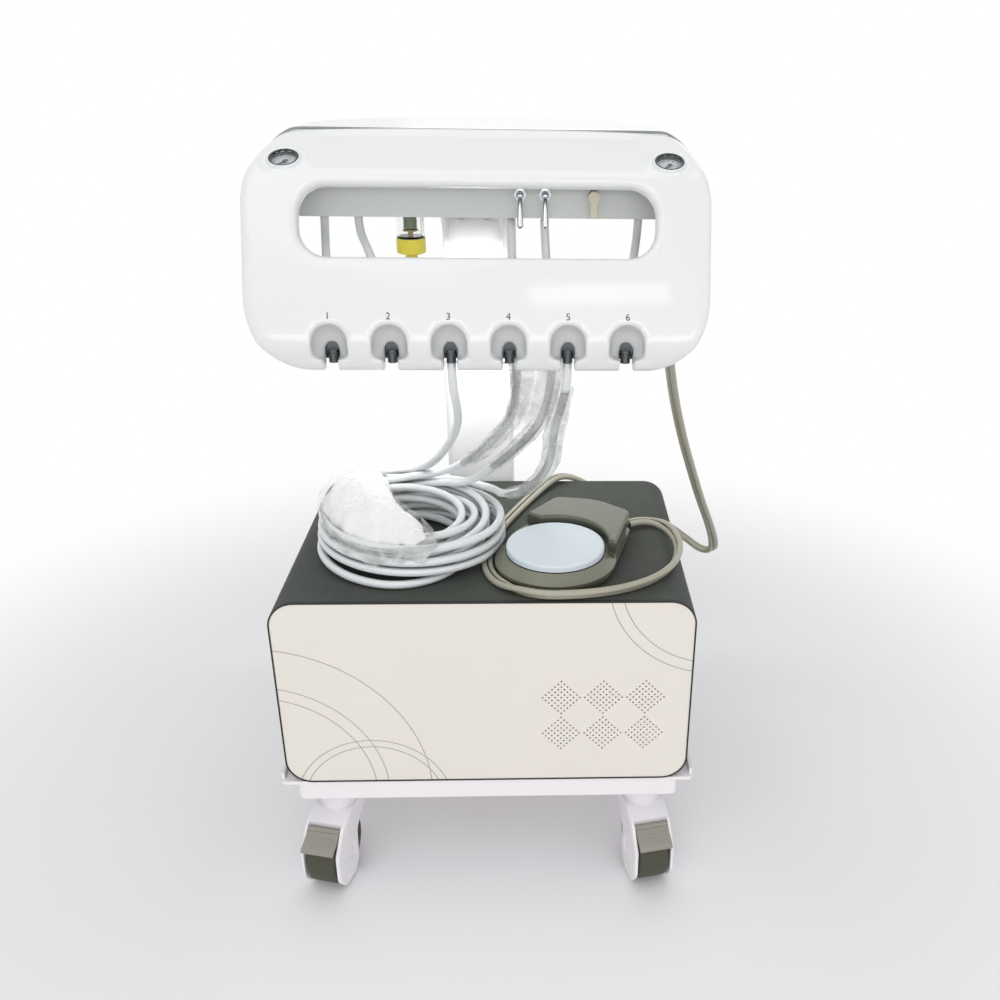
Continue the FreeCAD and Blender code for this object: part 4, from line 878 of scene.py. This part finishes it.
def add_studio():
    """Floor, lamps and surround."""
    shape = bmesh.new()
    bmesh.ops.create_grid(shape, x_segments=8, y_segments=8, size=FLOOR_SIZE)
    mesh = bpy.data.meshes.new("floor")
    shape.to_mesh(mesh)
    shape.free()
    mesh.materials.append(floor_finish())
    in_scene("floor", mesh)
    for name, (place, target, size, power) in LAMPS.items():
        add_area_light(name, place, target, size, power)
    white_world()


# ---- finishes ----
DUST_COLOUR = (196, 194, 186)
BUMP_DISTANCE = 0.0002
# A finish's roughness varies between these shares of its value.
GLOSSIEST = 0.85
DULLEST = 1.18


def new_group(name, inputs, output):
    """A shader node group with float inputs and one float output, and the sockets of its inputs."""
    group = bpy.data.node_groups.new(name, "ShaderNodeTree")
    for label, value in inputs.items():
        socket = group.interface.new_socket(label, in_out="INPUT", socket_type="NodeSocketFloat")
        socket.default_value = value
    group.interface.new_socket(output, in_out="OUTPUT", socket_type="NodeSocketFloat")
    return group, put(group, "NodeGroupInput").outputs


def cloudiness_group():
    """Broad, faint unevenness of a surface as a value round one half."""
    group, given = new_group("cloudiness", {"Scale": 12.0}, "Value")
    broad = noise_value(group, Scale=given["Scale"], Detail=5.0, Roughness=0.62)
    put(group, "NodeGroupOutput", {"Value": broad})
    return group


def grain_group():
    """The fine grain of moulded or powder-coated surfaces as a height."""
    group, given = new_group("grain", {"Scale": 900.0, "Waviness": 0.0}, "Height")
    fine = noise_value(group, Scale=given["Scale"], Detail=3.0)
    wave = noise_value(group, Scale=38.0, Detail=1.0)
    height = reckon(group, "MULTIPLY_ADD", wave, given["Waviness"], fine)
    put(group, "NodeGroupOutput", {"Height": height})
    return group


def dust_group():
    """Where a thin film of dust settles: on faces that look up, in patches."""
    group, given = new_group("dust", {"Amount": 0.1}, "Mask")
    normal = put(group, "ShaderNodeNewGeometry").outputs["Normal"]
    split = put(group, "ShaderNodeSeparateXYZ", {0: normal}).outputs
    upward = ranged(group, split["Z"], From_Min=0.5, From_Max=1.0)
    patches = noise_value(group, Scale=55.0, Detail=6.0)
    spotted = reckon(group, "MULTIPLY", upward, patches)
    put(group, "NodeGroupOutput", {"Mask": reckon(group, "MULTIPLY", spotted, given["Amount"])})
    return group


CLOUDINESS = cloudiness_group()
GRAIN = grain_group()
DUST = dust_group()


def finish(name, colour, roughness, cloud=(9.0, 0.06), grain=(900.0, 0.0, 0.02), dust=0.0, metallic=0.0,
           coat=0.0, coat_roughness=0.05, specular=0.5):
    """A surface finish whose colour and gloss vary faintly, with a fine grain.

    cloud is the scale and strength of its unevenness, grain the scale, waviness and depth of its grain.
    """
    material = bpy.data.materials.new(name)
    material.use_nodes = True
    tree = material.node_tree
    base = linear(colour)
    cloud_scale, unevenness = cloud
    grain_scale, waviness, grain_depth = grain
    cloudy = put(tree, "ShaderNodeGroup", {"Scale": cloud_scale}, node_tree=CLOUDINESS).outputs["Value"]
    low = (*[c * (1 - unevenness) for c in base], 1)
    high = (*[min(1.0, c * (1 + unevenness)) for c in base], 1)
    tint = mixed(tree, cloudy, low, high, "uneven colour")
    dusty = put(tree, "ShaderNodeGroup", {"Amount": dust}, node_tree=DUST).outputs["Mask"]
    settled = mixed(tree, dusty, tint, (*linear(DUST_COLOUR), 1), "dust")
    gloss = ranged(tree, cloudy, To_Min=roughness * GLOSSIEST, To_Max=min(1.0, roughness * DULLEST))
    grainy = put(tree, "ShaderNodeGroup", {"Scale": grain_scale, "Waviness": waviness}, node_tree=GRAIN)
    bump = put(tree, "ShaderNodeBump", {"Height": grainy.outputs["Height"], "Distance": BUMP_DISTANCE,
                                        "Strength": min(1.0, grain_depth * 10)})
    fill(tree, tree.nodes["Principled BSDF"], {
        "Metallic": metallic, "Coat Weight": coat, "Coat Roughness": coat_roughness,
        "Specular IOR Level": specular, "Base Color": settled, "Roughness": gloss,
        "Normal": bump.outputs["Normal"],
    })
    return material


def see_through(name, colour, roughness, alpha=None, crinkle=0.0):
    """Clear plastic: solid glass-like with no alpha given, or a thin crinkled film."""
    material = finish(name, colour, roughness, cloud=(30.0, 0.02), grain=(60.0, 0.0, crinkle))
    tree = material.node_tree
    shader = tree.nodes["Principled BSDF"]
    if alpha is None:
        fill(tree, shader, {"Transmission Weight": 1.0, "IOR": 1.35})
        return material
    folds = noise_value(tree, Scale=52.0, Detail=4.0, Distortion=1.2)
    thick = ranged(tree, folds, From_Min=0.35, From_Max=0.7, To_Min=alpha[0], To_Max=alpha[1])
    fill(tree, shader, {"Alpha": thick})
    return material


def colour_below(material):
    """The input for the base colour of a finish, and the socket that feeds it."""
    base = material.node_tree.nodes["Principled BSDF"].inputs["Base Color"]
    return base, base.links[0].from_socket


def paint_where(material, mask, colour):
    """Lays a plain colour over a finish where a mask is one."""
    tree = material.node_tree
    base, below = colour_below(material)
    tree.links.new(mixed(tree, mask, below, (*linear(colour), 1)), base)


# Thin printed arcs on the front panel, in millimetres: each centre with its radii.
PANEL_ARCS = {(-235, 150): (118, 131, 176), (-120, 132): (74, 82), (230, 402): (96, 108)}
ARC_WIDTH = 1.0
ARC_COLOUR = (172, 167, 156)


def arc_mask(tree, split, centre, radius):
    """A mask of one thin printed arc round a centre."""
    offset = put(tree, "ShaderNodeCombineXYZ", {0: split["X"], 2: split["Z"]}).outputs[0]
    away = reckon_vector(tree, "DISTANCE", offset, (centre.x, 0, centre.z)).outputs["Value"]
    return reckon(tree, "COMPARE", away, radius * MM, ARC_WIDTH * MM / 2)


def printed_panel():
    """The front panel's pale satin laminate with fine olive-grey arcs."""
    material = finish("cream_panel", (239, 233, 223), 0.34, cloud=(5.0, 0.03), grain=(700, 0.0, 0.015))
    tree = material.node_tree
    split = put(tree, "ShaderNodeSeparateXYZ", {0: own_place(tree)}).outputs
    total = 0.0
    for (x, z), radii in PANEL_ARCS.items():
        for radius in radii:
            total = reckon(tree, "MAXIMUM", total, arc_mask(tree, split, at(x, 0, z), radius))
    paint_where(material, total, ARC_COLOUR)
    return material


# How open a place is where the painted shade is full, and where it ends.
SHUT = 0.35
OPEN = 0.95
# Each finish that gets painted shade in its crevices: within how many millimetres, how much, and whether
# other pieces shade it.
PAINTED_CREVICE_SHADE = {
    "white_gloss": (30, 0.5, False),
    "olive_plastic": (24, 0.55, True),
    "olive_base_painted_light": (24, 0.55, True),
    "grey_hose": (6, 0.5, True),
    "olive_hose": (4, 0.6, False),
}


def paint_crevice_shade(material, reach, depth, by_others):
    """Paints shade softly into a finish's colour where the surface is tucked in, by its own piece or by
    others as well.
    """
    tree = material.node_tree
    base, below = colour_below(material)
    tucked = put(tree, "ShaderNodeAmbientOcclusion", {"Distance": reach * MM}, samples=8,
                 only_local=not by_others)
    share = ranged(tree, tucked.outputs["AO"], From_Min=SHUT, From_Max=OPEN, To_Min=1 - depth, To_Max=1.0)
    darker = reckon_vector(tree, "SCALE", below)
    fill(tree, darker, {"Scale": share})
    tree.links.new(darker.outputs[0], base)


def all_finishes():
    """Every finish by the record's slot name, with a few for single nodes."""
    pedal = {"cloud": (14, 0.05), "grain": (1300, 1, 0.02), "dust": 0.02, "coat": 0.35,
             "coat_roughness": 0.12}
    finishes = {
        "white_gloss": finish("white_gloss", (236, 237, 236), 0.24, cloud=(4, 0.012), grain=(500, 3, 0.004),
                              coat=0.5, dust=0.03),
        "white_paint": finish("white_paint", (250, 245, 247), 0.42, cloud=(7, 0.02), grain=(1400, 1, 0.03)),
        "white_plastic": finish("white_plastic", (244, 241, 244), 0.36, grain=(800, 1, 0.015), coat=0.1),
        "dark_cover": finish("dark_cover", (72, 76, 71), 0.6, cloud=(8, 0.07), grain=(1500, 1, 0.04),
                             dust=0.05, specular=0.12),
        "cream_panel": printed_panel(),
        "black_rubber": finish("black_rubber", (34, 36, 34), 0.6, grain=(1100, 0, 0.03)),
        "grey_panel": finish("grey_panel", (228, 231, 226), 0.36, grain=(900, 1, 0.015)),
        "chrome": finish("chrome", (214, 217, 222), 0.09, metallic=1.0, cloud=(20, 0.02),
                         grain=(300, 0, 0.004)),
        "steel": finish("steel", (176, 177, 180), 0.3, metallic=1.0, cloud=(26, 0.05), grain=(1300, 0, 0.02)),
        # A darker copy of the chrome for the couplings in the scoops, as painted shade of the scoops they sit
        # in.
        "chrome_in_painted_shade": finish("chrome_in_painted_shade", (104, 107, 110), 0.28, metallic=1.0, grain=(300, 0, 0.004)),
        "cast_aluminium": finish("cast_aluminium", (168, 170, 173), 0.48, metallic=1.0, grain=(700, 0, 0.06)),
        "tank_paint": finish("tank_paint", (196, 200, 205), 0.35, grain=(600, 3, 0.02)),
        # The pedal's hood and base are of one olive plastic; the base takes a lighter copy of it, which is
        # painted light.
        "olive_plastic": finish("olive_plastic", (93, 94, 79), 0.34, **pedal),
        "olive_base_painted_light": finish("olive_base_painted_light", (122, 123, 106), 0.34, **pedal),
        # The column's own copy of the white paint, set at the brightest white as painted light, since the
        # head shades it.
        "column_white": finish("column_white", (250, 250, 249), 0.36, grain=(900, 1, 0.01), coat=0.15),
        "brake_olive": finish("brake_olive", (152, 148, 138), 0.4, cloud=(14, 0.05), grain=(1300, 1, 0.04)),
        "pale_blue": finish("pale_blue", (224, 234, 240), 0.34, cloud=(16, 0.02), grain=(1500, 0, 0.03)),
        "grey_hose": finish("grey_hose", (234, 237, 238), 0.32, cloud=(28, 0.04), grain=(500, 0, 0.02),
                            coat=0.3, coat_roughness=0.2),
        "olive_hose": finish("olive_hose", (172, 169, 151), 0.38, cloud=(26, 0.07), grain=(600, 0, 0.03),
                             coat=0.25, coat_roughness=0.25),
        "olive_tread": finish("olive_tread", (74, 73, 58), 0.62, cloud=(40, 0.12), grain=(500, 0, 0.09),
                              dust=0.2),
        "cream_plastic": finish("cream_plastic", (226, 218, 196), 0.34, grain=(900, 0, 0.02)),
        "black_plastic": finish("black_plastic", (40, 42, 44), 0.3, grain=(800, 0, 0.02), coat=0.2),
        "clear_plastic": see_through("clear_plastic", (250, 252, 250), 0.04),
        "yellow_plastic": finish("yellow_plastic", (247, 230, 84), 0.32, grain=(800, 0, 0.02)),
        "dial_face": finish("dial_face", (214, 221, 230), 0.5, cloud=(60, 0.02)),
        "red_plastic": finish("red_plastic", (186, 52, 44), 0.4),
        "green_board": finish("green_board", (52, 96, 66), 0.45, cloud=(60, 0.1)),
        "foam_film": finish("foam_film", (254, 253, 250), 0.6, cloud=(40, 0.03), grain=(300, 0, 0.01)),
    }
    # Painted shade goes into the crevices of these finishes.
    for name, (reach, depth, by_others) in PAINTED_CREVICE_SHADE.items():
        paint_crevice_shade(finishes[name], reach, depth, by_others)
    return finishes


BEZEL_INSIDE = 13.5
BEZEL_COLOUR = (232, 235, 236)


def ringed_bezels():
    """The gauges' cases: black inside, with the rim round them in the head's white."""
    material = finish("ringed_bezels", (26, 28, 30), 0.3, grain=(800, 0, 0.02), coat=0.2)
    tree = material.node_tree
    matrix = slope_frame(GAUGE_X, GAUGE_SLIDE, 0)
    split = put(tree, "ShaderNodeSeparateXYZ", {0: own_place(tree)}).outputs
    mirrored = put(tree, "ShaderNodeCombineXYZ",
                   {"X": reckon(tree, "ABSOLUTE", split["X"]), "Y": split["Y"], "Z": split["Z"]}).outputs[0]
    from_middle = reckon_vector(tree, "SUBTRACT", mirrored, matrix.translation).outputs[0]
    beside = reckon_vector(tree, "CROSS_PRODUCT", from_middle, matrix.to_3x3().col[2]).outputs[0]
    away = reckon_vector(tree, "LENGTH", beside).outputs["Value"]
    paint_where(material, reckon(tree, "GREATER_THAN", away, BEZEL_INSIDE * MM), BEZEL_COLOUR)
    return material


def finish_cad_nodes(finishes):
    """Gives every node of the frame the finish of its slot in the record, or one of its own."""
    special = {
        "gauge_cases": ringed_bezels(),
        "column_tube": finishes["column_white"],
        "column_collar": finishes["column_white"],
        "mast_tube": finishes["column_white"],
        "head_bracket": finishes["column_white"],
        "front_left_brake": finishes["brake_olive"],
        "front_right_brake": finishes["brake_olive"],
        # The couplings take the darker chrome, as painted shade.
        "coupling_rail": finishes["chrome_in_painted_shade"],
        # The pedal's base takes the lighter copy of its olive, as painted light.
        "pedal_base": finishes["olive_base_painted_light"],
    }
    for part in frame["record"]["subparts"]:
        name = part["node"]
        node = frame["nodes"][name]
        node.data.materials.clear()
        node.data.materials.append(special.get(name, finishes[part["material_slot"]]))


def main():
    """Everything that the frame's plain nodes lack."""
    finishes = all_finishes()
    ink = finish("print_ink", (64, 66, 68), 0.5)
    film = see_through("packing_film", (253, 254, 252), 0.2, alpha=(0.03, 0.34), crinkle=0.02)
    grey_film = see_through("grey_film", (208, 210, 204), 0.2, alpha=(0.14, 0.54), crinkle=0.02)
    brass = finish("brass", (176, 146, 92), 0.28, metallic=1.0)
    porous = finish("porous_filter", (124, 132, 104), 0.85, grain=(900, 0, 0.09))
    finish_cad_nodes(finishes)
    add_camera()
    add_handpiece_hoses(finishes["grey_hose"], finishes["chrome"])
    add_pedal_hose(finishes["olive_hose"])
    add_packing(finishes["foam_film"], film)
    for name, stations in HOSE_FILMS.items():
        add_hose_film(name, stations, grey_film)
    add_head(finishes["white_gloss"])
    # The deck seam's grey is painted shadow.
    add_deck_seam(finish("seam_shadow", (150, 154, 153), 0.7))
    add_holder_numbers(ink)
    add_gauge_faces(ink, finishes["red_plastic"])
    add_filter_element(brass, porous)
    add_all_screws(finishes["steel"])
    add_studio()
    bpy.context.scene.view_settings.view_transform = "Standard"


main()
bpy.context.view_layer.update()
